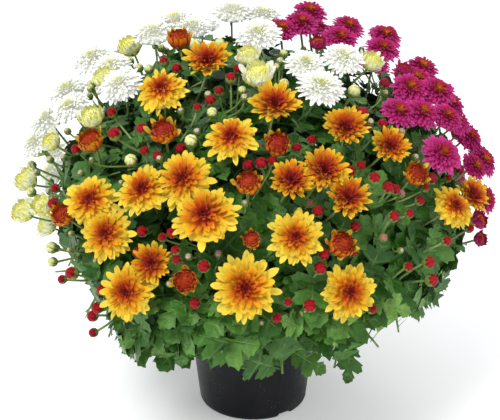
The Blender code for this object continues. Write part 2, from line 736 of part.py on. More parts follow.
def grow_stalks(garden, colour, ends, shapes):
    """Adds each stalk in the way that keeps clear of other pieces and least crosses its own.

    The flowers' stalks come back, as their index with the two ends of their long part."""
    node, stalks = "plant_" + colour, []
    for index, end in enumerate(ends):
        if end["colour"] != colour:
            continue
        found = []
        for sink in (0.0,) if end["kind"] == "flower" else BUD_SINKS:
            for choice in stalk_choices(end, index, sink):
                swollen = stalk_shape(end, choice, CLEARANCE)
                if garden.crossings(swollen, lambda n, p: n != node):
                    continue
                own = f"branch {choice[0]}"
                found.append((garden.crossings(swollen, lambda n, p: n == node and p != own), choice))
            if found:
                break
        if not found:
            print("no way for", index, end["kind"], colour)
            continue
        shape = stalk_shape(end, min(found)[1])
        shapes.append(shape)
        garden.add(node, f"stalk {index}", shape)
        if end["kind"] == "flower":
            rings = np.array(shape[0][:2 * STALK_SIDES]).reshape(2, STALK_SIDES, 3)
            stalks.append((index, rings.mean(axis=1)))
    return stalks


def start_plant(garden, colour):
    """The shapes that a plant begins with: its stem in the soil, and its branches."""
    x, y = CROWNS[colour]
    foot = np.array([x, y, SOIL_TOP - STEM_HOLE_DEPTH + GAP])
    crown = (foot, np.array([x, y, CROWN_TOP - CROWN_RADIUS]), np.array([x, y, CROWN_TOP]))
    shapes = [tube(crown, np.array((1, 1, CROWN_TAPER)) * CROWN_RADIUS, CROWN_SIDES)]
    garden.add("plant_" + colour, "crown", shapes[0])
    for number in range(len(BRANCHES[colour])):
        curve = branch_curve(colour, number)
        radii = np.interp(BRANCH_RINGS, (0, 1), BRANCH_RADII)
        shapes.append(tube([bezier(curve, t) for t in BRANCH_RINGS], radii, BRANCH_SIDES))
        garden.add("plant_" + colour, f"branch {number}", shapes[-1])
    return shapes


def leaf_shares(colour, branch):
    """Where the leaves sit on a branch: fewer on those that stand up inside the dome."""
    return HIGH_LEAF_SHARES if BRANCHES[colour][branch][1] > HIGH_BRANCH else LEAF_SHARES[colour]


def leaf_choices(root, index):
    """The ways that a leaf may lie, as (way, face, length): turned about the way out of the dome."""
    out = unit(root - HEART + np.array([0.0, 0.0, STALK_LIFT]))
    down = np.array([0, 0, -1.0]) if out[2] < STEEP else bearing(GOLDEN_ANGLE * index, 0)
    fall = unit(down - (down @ out) * out)
    size = np.interp(root[2], LEAF_HEIGHTS, (LEAF_LONG, LEAF_SHORT))
    size *= np.interp(vary(index, 7), (0, 1), LEAF_VARIES)
    lean = np.interp(vary(index, 9), (0, 1), LEAF_LEAN)
    own_turn = TURN_RANGE * (vary(index, 11) - 0.5) + SIDE_LEAN * (1 if index % 2 else -1)
    found = []
    for scale in LEAF_SCALES:
        for turn in LEAF_TURNS:
            angle = math.radians(turn + own_turn)
            way = unit(math.cos(angle) * fall + math.sin(angle) * np.cross(out, fall) + lean * out)
            found.append((way, unit(out + np.array([0, 0, LEAF_UPWARD])), scale * size))
    return found


def leaf_seats(colour, stalks):
    """Where a plant's leaves are rooted, as (index, what they grow on, point)."""
    seats = []
    for branch in range(len(BRANCHES[colour])):
        for share in leaf_shares(colour, branch):
            seats.append((len(seats), f"branch {branch}", branch_point(colour, branch, share)))
    for index, (start, neck) in stalks:
        if index % STALK_LEAF_EVERY == 0:
            seats.append((1000 + index, f"stalk {index}", start + STALK_LEAF_SHARE * (neck - start)))
    return seats


def grow_leaves(garden, colour, stalks, shapes):
    """Adds each leaf in the first of its ways that keeps clear of all but what it grows on."""
    node = "plant_" + colour
    for index, own, root in leaf_seats(colour, stalks):
        for way, face, size in leaf_choices(root, index):
            thick = leaf_blade(root, way, face, size, LEAF_THICKNESS + 2 * CLEARANCE, 1.03)
            if not garden.crossings(thick, lambda n, p: n != node or p != own):
                shape = leaf_blade(root, way, face, size, LEAF_THICKNESS)
                shapes.append(shape)
                garden.add(node, f"leaf {index}", shape)
                break


def main():
    for old in list(bpy.data.objects):
        bpy.data.objects.remove(old)
    garden = Garden()
    make_pot(garden)
    make_soil(garden)
    ends = shoot_ends()
    spread(ends)
    make_flowers(garden, ends)
    plants = {colour: start_plant(garden, colour) for colour in CROWNS}
    stalks = {c: grow_stalks(garden, c, ends, shapes) for c, shapes in plants.items()}
    for colour, shapes in plants.items():
        stems = len(shapes)
        grow_leaves(garden, colour, stalks[colour], shapes)
        print("plant_" + colour, stems, "stems and buds", len(shapes) - stems, "leaves")
        finish = material("leaf", COLOURS["leaf"], 0.5)
        bodies = [mesh_object("plant_" + colour, shape, finish) for shape in shapes]
        boolean(bodies[0], bodies[1:], "UNION").name = "plant_" + colour


main()
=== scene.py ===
"""Looks of the pot chrysanthemum: petals, half-open flowers, buds, stems, lobed leaves, soil and pot.

The layout of the plants repeats the part's own: the same dome, branches and flower places. Where the
part chose one of several ways for a stalk or a leaf, the way is found again from the solid's corners.
Lengths are in metres, +Z is up, and the origin is the middle of the pot's underside.
"""

import math
import random

import bpy
import numpy as np
from bpy.props import FloatProperty, FloatVectorProperty, IntProperty, PointerProperty
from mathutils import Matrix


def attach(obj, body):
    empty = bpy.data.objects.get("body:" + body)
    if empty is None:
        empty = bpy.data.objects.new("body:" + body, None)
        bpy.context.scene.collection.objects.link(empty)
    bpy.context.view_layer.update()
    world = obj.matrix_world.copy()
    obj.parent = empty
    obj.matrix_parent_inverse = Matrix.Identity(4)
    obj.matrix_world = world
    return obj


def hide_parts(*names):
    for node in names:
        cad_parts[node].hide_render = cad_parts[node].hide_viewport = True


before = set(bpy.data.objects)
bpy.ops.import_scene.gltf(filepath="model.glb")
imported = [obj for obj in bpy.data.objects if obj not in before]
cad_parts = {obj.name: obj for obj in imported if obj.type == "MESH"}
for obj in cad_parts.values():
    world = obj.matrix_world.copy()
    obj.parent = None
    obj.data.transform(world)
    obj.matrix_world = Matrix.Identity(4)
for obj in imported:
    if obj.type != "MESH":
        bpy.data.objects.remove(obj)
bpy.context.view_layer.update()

bl_info = {
    "name": "Pot Chrysanthemum",
    "version": (1, 0, 0),
    "blender": (4, 5, 0),
    "location": "3D View > Sidebar > Plant",
    "description": "Flowers, buds, leaves, stems, soil and pot of a three-coloured pot chrysanthemum",
    "category": "Add Mesh",
}

# Dome of flowers, and the camera whose pixels place them
DOME_CENTRE = np.array([0.0, 0.0, 0.200])
DOME_RADIUS = 0.210
DOME_UPPER = 0.172
DOME_LOWER = 0.150
HEART = np.array([0.0, 0.0, 0.120])
LEAN = np.array([0.0, -0.6, 0.8])
EYE = np.array([-0.003, -0.9615, 0.5561])
EYE_PITCH = math.radians(20.6)
FOCAL_PIXELS = 1100.0
FRAME_WIDTH = 500.0
FRAME_MIDDLE = np.array([250.0, 210.0])

# Plants: crowns in the soil, and the bearing and height angle of each branch
COLOURS = ("white", "yellow", "magenta")
CROWNS = {"white": (-0.024, 0.016), "yellow": (0.000, -0.027), "magenta": (0.026, 0.014)}
CROWN_RADIUS = 0.0055
CROWN_TOP = 0.122
CROWN_FOOT = 0.0573
BRANCHES = {
    "white": ((178, 8), (148, 0), (112, 4), (165, 38), (125, 36), (92, 58), (185, 62), (-62, 72)),
    "yellow": ((-168, 4), (-138, 0), (-108, 2), (-80, 0), (-52, 2), (-24, 4), (-150, 34),
               (-95, 30), (-42, 30), (-110, 52)),
    "magenta": ((6, 4), (36, 0), (72, 4), (2, 34), (38, 32), (55, 56)),
}
BRANCH_REACH = 0.76
BRANCH_RINGS = (0.0, 0.3, 0.6, 1.0)
# A branch's steps down the crown, its rise and run out of it, its straight end and its bow, in metres
BRANCH_TOP = 0.004
BRANCH_STEP = 0.0016
BRANCH_RISE = 0.034
BRANCH_RUN = 0.016
BRANCH_END = 0.036
BRANCH_BOW = 0.012
# Flower stalks: how straight they leave and arrive, as shares, and where on a branch they may start
STALK_RADIUS = 0.0013
STALK_ENDS = (0.30, 0.38)
STALK_LIFT = 0.02
STALK_SHARES = (0.50, 0.62, 0.74, 0.86, 0.94)
STALK_SHIFT = 0.06
NEAR_BRANCHES = 3
CUP_HEIGHT = 0.0055
GAP = 0.0003

# Open flowers of each spray, half-open flowers and buds: pixels in the frame, and millimetres across
SPRAYS = {
    "yellow": (
        ((155, 194, 44), (184, 187, 48), (214, 212, 52)), ((94, 208, 44), (113, 226, 44)),
        ((131, 287, 46), (147, 262, 34)), ((246, 273, 53),), ((290, 219, 44),),
        ((331, 203, 36), (319, 167, 40), (303, 182, 36)), ((346, 288, 46),), ((339, 146, 38),),
        ((378, 148, 34),), ((282, 123, 40),), ((232, 152, 42),), ((448, 187, 42), (470, 200, 34)),
        ((164, 91, 44),), ((214, 62, 40),),
    ),
    "white": (
        ((312, 97, 42), (314, 73, 36)), ((341, 61, 38),), ((259, 38, 42),),
        ((230, 15, 40), (264, 8, 36)), ((199, 26, 36), (172, 24, 40), (153, 38, 42)),
        ((112, 62, 38), (90, 70, 42)), ((118, 90, 40),), ((60, 86, 40), (76, 116, 38)),
        ((41, 118, 42), (24, 141, 34)),
    ),
    "magenta": (
        ((283, 27, 32), (309, 33, 34), (328, 25, 34)), ((349, 45, 34), (362, 34, 32)),
        ((384, 42, 34), (394, 55, 34), (376, 60, 32)), ((420, 61, 34), (408, 73, 36)),
        ((406, 92, 36), (435, 92, 36)), ((414, 114, 32), (423, 124, 34), (437, 111, 32)),
        ((458, 114, 34), (452, 124, 30)), ((438, 147, 38),),
        ((467, 137, 36), (473, 151, 34), (491, 157, 30)), ((484, 190, 30),),
    ),
}
FAR_RINGS = (
    ("flower", "white", ((0.215, 98, 166, 6, 42), (0.290, 99, 150, 4, 40), (0.340, 102, 142, 2, 38))),
    ("flower", "magenta", ((0.215, 14, 80, 6, 36), (0.290, 20, 76, 4, 36), (0.340, 32, 74, 2, 34))),
    ("opening", "white", ((0.165, 100, 170, 2, 24), (0.255, 96, 176, 2, 24))),
    ("opening", "magenta", ((0.260, 10, 82, 2, 20),)),
    ("bud", "white", ((0.145, 96, 172, 3, 10),)),
    ("bud", "magenta", ((0.145, 8, 82, 3, 10),)),
)
OPENING = {
    "yellow": ((402, 162, 22), (298, 156, 22), (163, 134, 24), (91, 141, 24), (179, 39, 24),
               (220, 190, 22), (188, 280, 22), (71, 211, 22), (328, 223, 24), (260, 246, 16)),
    "white": ((260, 73, 28), (103, 77, 24), (100, 107, 24), (363, 60, 22), (243, 49, 22),
              (14, 197, 26), (21, 175, 26), (43, 205, 22), (120, 43, 26), (51, 142, 20)),
    "magenta": ((322, 46, 16), (389, 61, 16), (480, 239, 15), (479, 220, 18)),
}
BUDS = {
    "yellow": ((164, 60), (234, 74), (197, 106), (143, 129), (115, 134), (145, 149), (165, 158),
               (54, 190), (58, 207), (72, 273), (61, 279), (97, 308), (92, 316), (92, 333),
               (171, 249), (194, 301), (210, 274), (103, 290), (323, 235), (322, 300), (368, 305),
               (277, 318), (271, 157), (374, 178), (388, 187), (359, 116), (394, 216), (429, 262),
               (409, 266), (432, 280), (449, 233), (471, 225)),
    "white": ((144, 70), (196, 45), (220, 43), (24, 159), (30, 191), (51, 249), (51, 260),
              (136, 168), (188, 160), (212, 112), (281, 82), (354, 91), (89, 86)),
    "magenta": ((388, 84), (440, 172), (455, 172)),
}
# Smaller buds between the others: pixels, and how far each has coloured up, from 0 to 1
SIDE_BUDS = {
    "yellow": ((183, 72, 1), (225, 70, 1), (217, 82, .8), (208, 100, 1), (189, 143, 1), (94, 116, .9),
               (77, 149, 1), (85, 198, 1), (44, 217, .4), (126, 234, 1), (91, 235, .9), (158, 248, .6),
               (174, 272, .7), (185, 268, .3), (221, 262, .4), (166, 278, .2), (121, 265, .9),
               (191, 229, .9), (312, 210, 1), (346, 215, .9), (303, 243, 1), (346, 267, .8),
               (289, 307, .6), (306, 313, .2), (384, 239, .5), (411, 215, .7), (421, 179, .6),
               (398, 189, .9), (361, 191, .8), (432, 199, .8), (413, 186, .5), (288, 177, .8),
               (338, 171, .9), (309, 202, .5), (383, 131, .9), (323, 133, .8), (354, 133, .7),
               (295, 143, .8), (255, 172, 1), (366, 163, .8), (448, 168, .6), (244, 188, .1),
               (150, 318, .1), (236, 300, .2), (262, 330, .1), (340, 320, .3), (126, 320, .2)),
    "white": ((136, 63, .6), (51, 143, .3), (44, 156, .4), (30, 172, .2), (117, 182, .1),
              (155, 162, .2), (195, 131, .3), (242, 88, .6), (77, 99, .5), (282, 45, .6),
              (297, 63, .5), (250, 99, .4), (66, 252, .1), (84, 266, .1), (68, 235, .1),
              (374, 131, .4), (388, 83, .5), (281, 68, .5), (60, 130, .3), (70, 170, .2),
              (90, 160, .1), (180, 110, .2), (205, 84, .4)),
    "magenta": ((409, 260, .1), (405, 130, .4), (425, 155, .3), (462, 168, .5), (488, 214, .6)),
}
# More of them on the far side: from and to which bearing, how many for each plant, their lowest height
# and the range above it, and how coloured they are at most
FAR_BUDS = {"white": (95, 178), "magenta": (6, 88)}
FAR_BUD_COUNT = 30
FAR_BUD_HEIGHTS = (0.12, 0.22)
FAR_BUD_RIPE = 0.9
# Small buds: radius when green and how much it grows, the air round them, the rounds that spread them,
# and how far they are sunk into the dome, at least and in range
SIDE_BUD_RADII = (0.0026, 0.0018)
SIDE_BUD_AIR = 0.002
SIDE_BUD_ROUNDS = 80
SIDE_BUD_SUNK = (0.004, 0.012)
BUD_RADIUS = 0.0052

# Where stalks end and how long a bud is, along a head's own axis, in its own radii
BUD_LENGTH = 2.2
BUD_SEAT = -1.2
HEAD_SEAT = -0.22
CUP_SEAT = -0.75
CUP_WAIST = -0.35
# How far a bud or a half-open flower may be moved into the dome, in metres
BUD_SINKS = (0.0, 0.008, -0.006, 0.016, 0.026)

# How close the heads of a spray press, the air between all others, and how a spray is levelled and tilted
PRESSED = 0.72
APART = 0.0028
SPACING_ROUNDS = 240
SPRAY_ROUNDS = 20
LEVELLING = 0.9
TILT = 0.24
# Keeps the keys of sprays apart from those of ends, and those of leaves on stalks from those on branches
KEY_STEP = 1000

# Leaves of the part: half of the coarse outline, and how they are sized and turned
LEAF_CORNERS = ((-0.35, 0.022), (0.22, 0.36), (0.42, 0.15), (0.66, 0.30), (1.0, 0.0))
LEAF_DROOP = 0.22
LEAF_EDGE_DROOP = 0.10
LEAF_SIZES = (0.058, 0.040)
LEAF_HEIGHTS = (0.13, 0.27)
LEAF_VARIES = (0.88, 1.12)
LEAF_LEAN = (0.55, 0.90)
LEAF_UPWARD = 0.25
LEAF_SCALES = (1.0, 0.8)
LEAF_TURNS = (0.0, 40.0, -40.0, 80.0, -80.0, 120.0, -120.0, 160.0)
LEAF_SHARES = {"white": (0.50, 0.74, 0.97), "yellow": (0.38, 0.50, 0.62, 0.74, 0.97),
               "magenta": (0.50, 0.74, 0.97)}
HIGH_BRANCH = 25
HIGH_LEAF_SHARES = (0.82, 0.97)
STALK_LEAF_SHARE = 0.55
STALK_LEAF_EVERY = 3
STEEP = 0.93
GOLDEN_ANGLE = 137.5
SIDE_LEAN = 30.0
TURN_RANGE = 70.0
FOUND_WITHIN = 0.0008
# The fine outline from stalk to tip: place on the midrib, place of the edge, half width
LEAF_STATIONS = np.array((
    (-0.35, -0.35, 0.018), (-0.04, -0.05, 0.020), (0.00, 0.00, 0.060), (0.03, 0.07, 0.120),
    (0.06, 0.13, 0.220), (0.09, 0.20, 0.300), (0.12, 0.24, 0.270), (0.16, 0.33, 0.330),
    (0.20, 0.36, 0.250), (0.24, 0.34, 0.120), (0.28, 0.41, 0.140), (0.32, 0.47, 0.260),
    (0.36, 0.54, 0.370), (0.40, 0.57, 0.330), (0.45, 0.68, 0.400), (0.50, 0.71, 0.320),
    (0.54, 0.75, 0.290), (0.58, 0.73, 0.200), (0.62, 0.70, 0.100), (0.67, 0.76, 0.140),
    (0.73, 0.85, 0.210), (0.78, 0.87, 0.160), (0.85, 0.94, 0.150), (0.90, 0.96, 0.090),
    (0.95, 1.00, 0.040), (1.00, 1.01, 0.003),
))
# Shares across a leaf at which it has points, how its points near the edge are swept forward, and how
# far it is folded along its midrib, waved along its edges and curled to one side
LEAF_ACROSS = (1.0, 0.5, 0.0, -0.5, -1.0)
LEAF_SWEEP = 1.3
LEAF_FOLD = (0.5, 0.12)
LEAF_WAVE = 0.035
LEAF_WAVES = 1.6
LEAF_CURL = 0.10
# Share of the solids' leaf length that is drawn, and the same where the tip would be past a line so
# many pixels inside the photograph's outline of leaves
LEAF_SHRINK = 0.84
LEAF_SHORTENED = 0.55
LEAF_INSIDE = -4.0

# Rings of petals from the outside in: how many, radius and height of the tips, and width, in head radii
PETAL_RINGS = {
    "white": ((24, 1.00, -0.04, 0.180), (24, 0.95, 0.10, 0.175), (22, 0.84, 0.24, 0.170),
              (20, 0.70, 0.36, 0.160), (17, 0.54, 0.45, 0.150), (13, 0.37, 0.50, 0.130),
              (9, 0.21, 0.51, 0.100), (6, 0.07, 0.45, 0.070)),
    "yellow": ((17, 1.00, -0.05, 0.225), (17, 0.93, 0.08, 0.215), (16, 0.81, 0.20, 0.195),
               (14, 0.65, 0.31, 0.165), (13, 0.49, 0.40, 0.130), (12, 0.35, 0.46, 0.105),
               (10, 0.22, 0.46, 0.085), (7, 0.10, 0.40, 0.060)),
    "magenta": ((22, 1.00, -0.03, 0.195), (22, 0.93, 0.11, 0.190), (20, 0.81, 0.25, 0.175),
                (18, 0.67, 0.36, 0.160), (15, 0.52, 0.44, 0.140), (12, 0.37, 0.48, 0.115),
                (9, 0.22, 0.48, 0.090), (6, 0.09, 0.43, 0.060)),
}
# The same for half-open flowers, whose petals bulge out and close over the middle, and for the few
# petals that have opened out of them
OPENING_RINGS = ((14, 0.82, 0.42, 0.40), (13, 0.66, 0.50, 0.35), (11, 0.48, 0.54, 0.30),
                 (9, 0.30, 0.54, 0.24), (6, 0.13, 0.50, 0.17))
FLARED_RINGS = ((9, 1.10, 0.36, 0.40), (7, 0.94, 0.52, 0.36))
# The folded body under the petals of an open and of a half-open flower, in head radii: height, radius
OPEN_HEART = ((-0.14, 0.30), (-0.13, 0.66), (-0.04, 0.76), (0.06, 0.70), (0.14, 0.56), (0.20, 0.40),
              (0.23, 0.22), (0.24, 0.05))
OPENING_HEART = ((-0.75, 0.30), (-0.50, 0.58), (-0.20, 0.74), (0.08, 0.72), (0.28, 0.52), (0.40, 0.24),
                 (0.43, 0.05))
HEART_SIDES = 20
HEART_FOLDS = 10
# Share of the widest width along a petal: white and magenta ones are straps, yellow ones spoons, and
# those of half-open flowers are broad scoops
PETAL_PLACES = (0.0, 0.2, 0.45, 0.65, 0.80, 0.92, 1.0)
PETAL_SHAPES = {
    "white": (0.42, 0.66, 0.90, 1.00, 0.96, 0.74, 0.30),
    "yellow": (0.32, 0.50, 0.76, 0.96, 1.00, 0.70, 0.18),
    "magenta": (0.40, 0.64, 0.88, 1.00, 0.98, 0.78, 0.34),
}
CUP_SHAPE = (0.55, 0.80, 1.00, 1.00, 0.88, 0.66, 0.34)
# How much petals vary: bearing in steps of their ring, length, how much shorter they are on the whole,
# height of root, middle and tip, width, twist in radians, and depth of the channel in half widths
PETAL_TURN = 0.34
PETAL_STRETCH = 0.12
PETAL_SHORTER = 0.03
PETAL_SWING = (0.0, 0.05, 0.11)
PETAL_BROADER = 0.12
PETAL_TWIST = 0.60
PETAL_CHANNEL = (0.36, 0.40)

# Shape of a bud from its stalk to its top, in its own radius: height and radius
BUD_PROFILE = ((0.0, 0.26), (0.10, 0.56), (0.32, 0.82), (0.62, 0.97), (0.95, 1.0), (1.28, 0.96),
               (1.58, 0.84), (1.86, 0.62), (2.06, 0.36), (2.16, 0.10))
BUD_FOLDS = 7

# First numbers of the random draws of each step
SEEDS = {"open": 100, "half open": 7, "buds": 5, "stems": 11, "leaves": 17, "shoots": 41,
         "shoot leaves": 43}


def unit(v):
    """The same way, at length 1."""
    return v / np.linalg.norm(v, axis=-1, keepdims=True)


def columns(rows):
    """The columns of a table, an array each."""
    return [np.array(part) for part in zip(*rows)]


def of_all(ends, *keys):
    """What all the ends hold by each key, an array each."""
    return [np.array([end[key] for end in ends]) for key in keys]


def vary(index, salt):
    """A number from 0 to 1 that is always the same for the same index and salt."""
    return random.Random(index * 997 + salt).random()


def bearing(azimuth, height_angle):
    """The unit vector of a compass bearing and an angle above the horizon, in degrees."""
    a, e = math.radians(azimuth), math.radians(height_angle)
    return np.array([math.cos(a) * math.cos(e), math.sin(a) * math.cos(e), math.sin(e)])


def dome_level(p):
    """1 on the dome's surface, less inside it and more outside."""
    q = p - DOME_CENTRE
    height = np.where(q[..., 2] > 0, DOME_UPPER, DOME_LOWER)
    return np.sqrt((q[..., 0] ** 2 + q[..., 1] ** 2) / DOME_RADIUS**2 + (q[..., 2] / height) ** 2)


def onto_dome(p):
    """The point moved along its line from the dome's centre onto the surface."""
    return DOME_CENTRE + (p - DOME_CENTRE) / dome_level(p)[..., None]


def dome_normal(p):
    """The way out of the dome at a point, or at each of many points."""
    q = p - DOME_CENTRE
    height = np.where(q[..., 2] > 0, DOME_UPPER, DOME_LOWER)
    size = np.stack((np.full_like(height, DOME_RADIUS), np.full_like(height, DOME_RADIUS), height), -1)
    return unit(q / size**2)


def from_photo(x, y):
    """Where the ray through a pixel first meets the dome, or passes nearest to it."""
    right, up = (np.array([x, y]) - FRAME_MIDDLE) * (1, -1) / FOCAL_PIXELS
    level = np.array([right, math.cos(EYE_PITCH), -math.sin(EYE_PITCH)])
    ray = level + up * np.array([0.0, math.sin(EYE_PITCH), math.cos(EYE_PITCH)])
    along = EYE + np.linspace(0.5, 1.5, 1001)[:, None] * ray
    levels = dome_level(along)
    inside = np.nonzero(levels <= 1.0)[0]
    return onto_dome(along[inside[0] if len(inside) else levels.argmin()])


def at_height(azimuth, z):
    """The point of the dome at a compass bearing and a height."""
    up = z - DOME_CENTRE[2]
    share = math.sqrt(1 - (up / (DOME_UPPER if up > 0 else DOME_LOWER)) ** 2)
    return bearing(azimuth, 0) * DOME_RADIUS * share + np.array([0, 0, z])


def shoot_ends():
    """Every flower and bud as a dictionary, in its first place on the dome."""
    ends, spray = [], 0
    for colour, sprays in SPRAYS.items():
        for members in sprays:
            spray += 1
            for x, y, size in members:
                ends.append({"kind": "flower", "colour": colour, "spray": spray,
                             "at": from_photo(x, y), "radius": size / 2000})
    for kind, colour, rings in FAR_RINGS:
        for z, first, last, count, size in rings:
            for i in range(count):
                spray += 1 - i % 2
                azimuth = first + (last - first) * i / (count - 1)
                ends.append({"kind": kind, "colour": colour,
                             "spray": spray if kind == "flower" else None,
                             "at": at_height(azimuth, z), "radius": size / 2000})
    for colour, places in OPENING.items():
        for x, y, size in places:
            ends.append({"kind": "opening", "colour": colour, "spray": None,
                         "at": from_photo(x, y), "radius": size / 2000})
    for colour, places in BUDS.items():
        for x, y in places:
            ends.append({"kind": "bud", "colour": colour, "spray": None,
                         "at": from_photo(x, y), "radius": BUD_RADIUS})
    return ends


def spread(ends):
    """Moves the ends over the dome until flowers of one spray press together and others are apart."""
    at, radius = of_all(ends, "at", "radius")
    together = np.array([[a["spray"] == b["spray"] and a["spray"] is not None for b in ends]
                         for a in ends])
    wanted = radius[:, None] + radius[None, :] + APART
    wanted = np.where(together, PRESSED * (wanted - APART), wanted)
    light = radius[None, :] ** 2 / (radius[:, None] ** 2 + radius[None, :] ** 2)
    chain = np.zeros_like(together)
    for i in range(len(ends) - 1):
        chain[i, i + 1] = chain[i + 1, i] = together[i, i + 1]
    for _ in range(SPACING_ROUNDS):
        apart = at[:, None] - at[None, :]
        distance = np.linalg.norm(apart, axis=2)
        np.fill_diagonal(distance, 1.0)
        push = np.maximum(wanted - distance, 0.0)
        push -= np.where(chain, np.maximum(distance - wanted, 0.0), 0.0)
        at = onto_dome(at + 0.5 * ((push * light / distance)[:, :, None] * apart).sum(axis=1))
    for end, place in zip(ends, at):
        end["at"] = place
        end["facing"] = unit(dome_normal(place) + LEAN)
    for i, end in enumerate(ends):
        key = KEY_STEP + end["spray"] if end["spray"] else i
        tilt = TILT * np.array([vary(key, salt) - 0.5 for salt in (21, 22, 23)])
        spray = [e for e in ends if e["spray"] == end["spray"]] if end["spray"] else [end]
        common = unit(unit(sum(e["facing"] for e in spray)) + tilt)
        middle = sum(e["at"] for e in spray) / len(spray)
        end["placed"] = end["at"] + LEVELLING * ((middle - end["at"]) @ common) * common
        end["turned"] = unit(end["facing"] + tilt + common)
    for end in ends:
        end["at"], end["facing"] = end["placed"], end["turned"]
    pairs = [(a, b) for i, a in enumerate(ends) for b in ends[i + 1:]
             if a["spray"] and a["spray"] == b["spray"]]
    for _ in range(SPRAY_ROUNDS):
        for a, b in pairs:
            apart = b["at"] - a["at"]
            distance = np.linalg.norm(apart)
            push = max(PRESSED * (a["radius"] + b["radius"]) - distance, 0.0) / distance
            a["at"], b["at"] = a["at"] - 0.5 * push * apart, b["at"] + 0.5 * push * apart


def bezier(a, b, c, d, t):
    """The point at share t of a curve with four control points."""
    s = 1 - t
    return s**3 * a + 3 * s * s * t * b + 3 * s * t * t * c + t**3 * d


def branch_curve(colour, number):
    """Control points of a branch: up out of the crown, over the rim and out to its bearing."""
    azimuth, height_angle = BRANCHES[colour][number]
    way = bearing(azimuth, height_angle)
    steps = HEART + np.linspace(0.0, 0.4, 801)[:, None] * way
    reach = np.linalg.norm(steps[np.nonzero(dome_level(steps) <= 1.0)[0][-1]] - HEART)
    tip = HEART + BRANCH_REACH * reach * way
    x, y = CROWNS[colour]
    root = np.array([x, y, CROWN_TOP - BRANCH_TOP - BRANCH_STEP * number])
    bow = BRANCH_BOW if height_angle < HIGH_BRANCH else -BRANCH_BOW
    return (root, root + np.array([0, 0, BRANCH_RISE]) + BRANCH_RUN * bearing(azimuth, 0),
            tip - BRANCH_END * way + np.array([0, 0, bow]), tip)


def branch_table(colour):
    """The four ring middles of every branch of a plant."""
    return np.array([[bezier(*branch_curve(colour, number), t) for t in BRANCH_RINGS]
                     for number in range(len(BRANCHES[colour]))])


def branch_point(rings, share):
    """The middle of a branch, as its straight segments run, at a share of its length."""
    return np.array([np.interp(share, BRANCH_RINGS, rings[:, axis]) for axis in range(3)])


def seat_of(end, sink):
    """Where a stalk ends: just under a flower's seat, or inside a bud or a half-open flower."""
    at = end["at"] - sink * end["facing"]
    if end["kind"] == "flower":
        return at + (HEAD_SEAT * end["radius"] - GAP) * end["facing"]
    share = CUP_SEAT if end["kind"] == "opening" else BUD_SEAT
    return at + share * end["radius"] * end["facing"]


def stalk_controls(start, end, facing):
    """Control points of a flower stalk: out of its branch, and up along the flower's own axis."""
    length = np.linalg.norm(end - start)
    leaving = unit(end - start + np.array([0, 0, STALK_LIFT]))
    return (start, start + STALK_ENDS[0] * length * leaving, end - STALK_ENDS[1] * length * facing, end)


def tubes(centres, radii, sides):
    """Round tubes as (how many, rings, sides, 3) points.

    A ring's point is its middle plus its radius times (cos a, sin a), square to the path there."""
    along = unit(np.gradient(centres, axis=1))
    whole = unit(centres[:, -1] - centres[:, 0])
    beside = np.eye(3)[np.abs(whole).argmin(axis=1)][:, None]
    u = unit(np.cross(beside, along))
    v = np.cross(along, u)
    a = 2 * math.pi * np.arange(sides)[:, None] / sides
    return (centres[:, :, None]
            + radii[:, :, None, None] * (np.cos(a) * u[:, :, None] + np.sin(a) * v[:, :, None]))


def off_by(points, corners):
    """How far each choice's points are from the nearest corners of a solid, by their median."""
    distance = np.linalg.norm(points[:, :, None] - corners[None, None], axis=3)
    return np.median(distance.min(axis=2), axis=1)


def solid_corners(node):
    """The corners of a solid of the frame, each place once."""
    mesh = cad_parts[node].data
    points = np.zeros(len(mesh.vertices) * 3, np.float32)
    mesh.vertices.foreach_get("co", points)
    return np.unique(points.reshape(-1, 3), axis=0).astype(float)


def find_stalk(end, index, branches, corners):
    """The stalk of a flower or bud, as the solid has it: how far sunk, its curve and its neck."""
    near = np.linalg.norm(branches[:, -1] - end["at"], axis=1).argsort(kind="stable")
    choices, rings = [], []
    for sink in (0.0,) if end["kind"] == "flower" else BUD_SINKS:
        seat, f, w = seat_of(end, sink), end["facing"], end["radius"]
        for b in near[:NEAR_BRANCHES]:
            for share in STALK_SHARES:
                start = branch_point(branches[b], share + STALK_SHIFT * vary(index, 5))
                controls = stalk_controls(start, seat, f)
                neck = bezier(*controls, 1 - CUP_HEIGHT / np.linalg.norm(seat - start))
                path = [start, neck, seat]
                if end["kind"] == "bud":
                    path = [start, neck, seat + w * f, seat + BUD_LENGTH * w * f]
                elif end["kind"] == "opening":
                    path = [start, neck, end["at"] - sink * f + CUP_WAIST * w * f]
                choices.append({"sink": sink, "controls": controls, "neck": neck})
                whole = unit(path[-1] - path[0])
                along = unit(path[2] - path[0])
                u = unit(np.cross(np.eye(3)[np.abs(whole).argmin()], along))
                sides = 3 if end["kind"] == "flower" else 4
                a = 2 * math.pi * np.arange(sides)[:, None] / sides
                rings.append(neck + STALK_RADIUS * (np.cos(a) * u + np.sin(a) * np.cross(along, u)))
    return choices[int(off_by(np.array(rings), corners).argmin())]


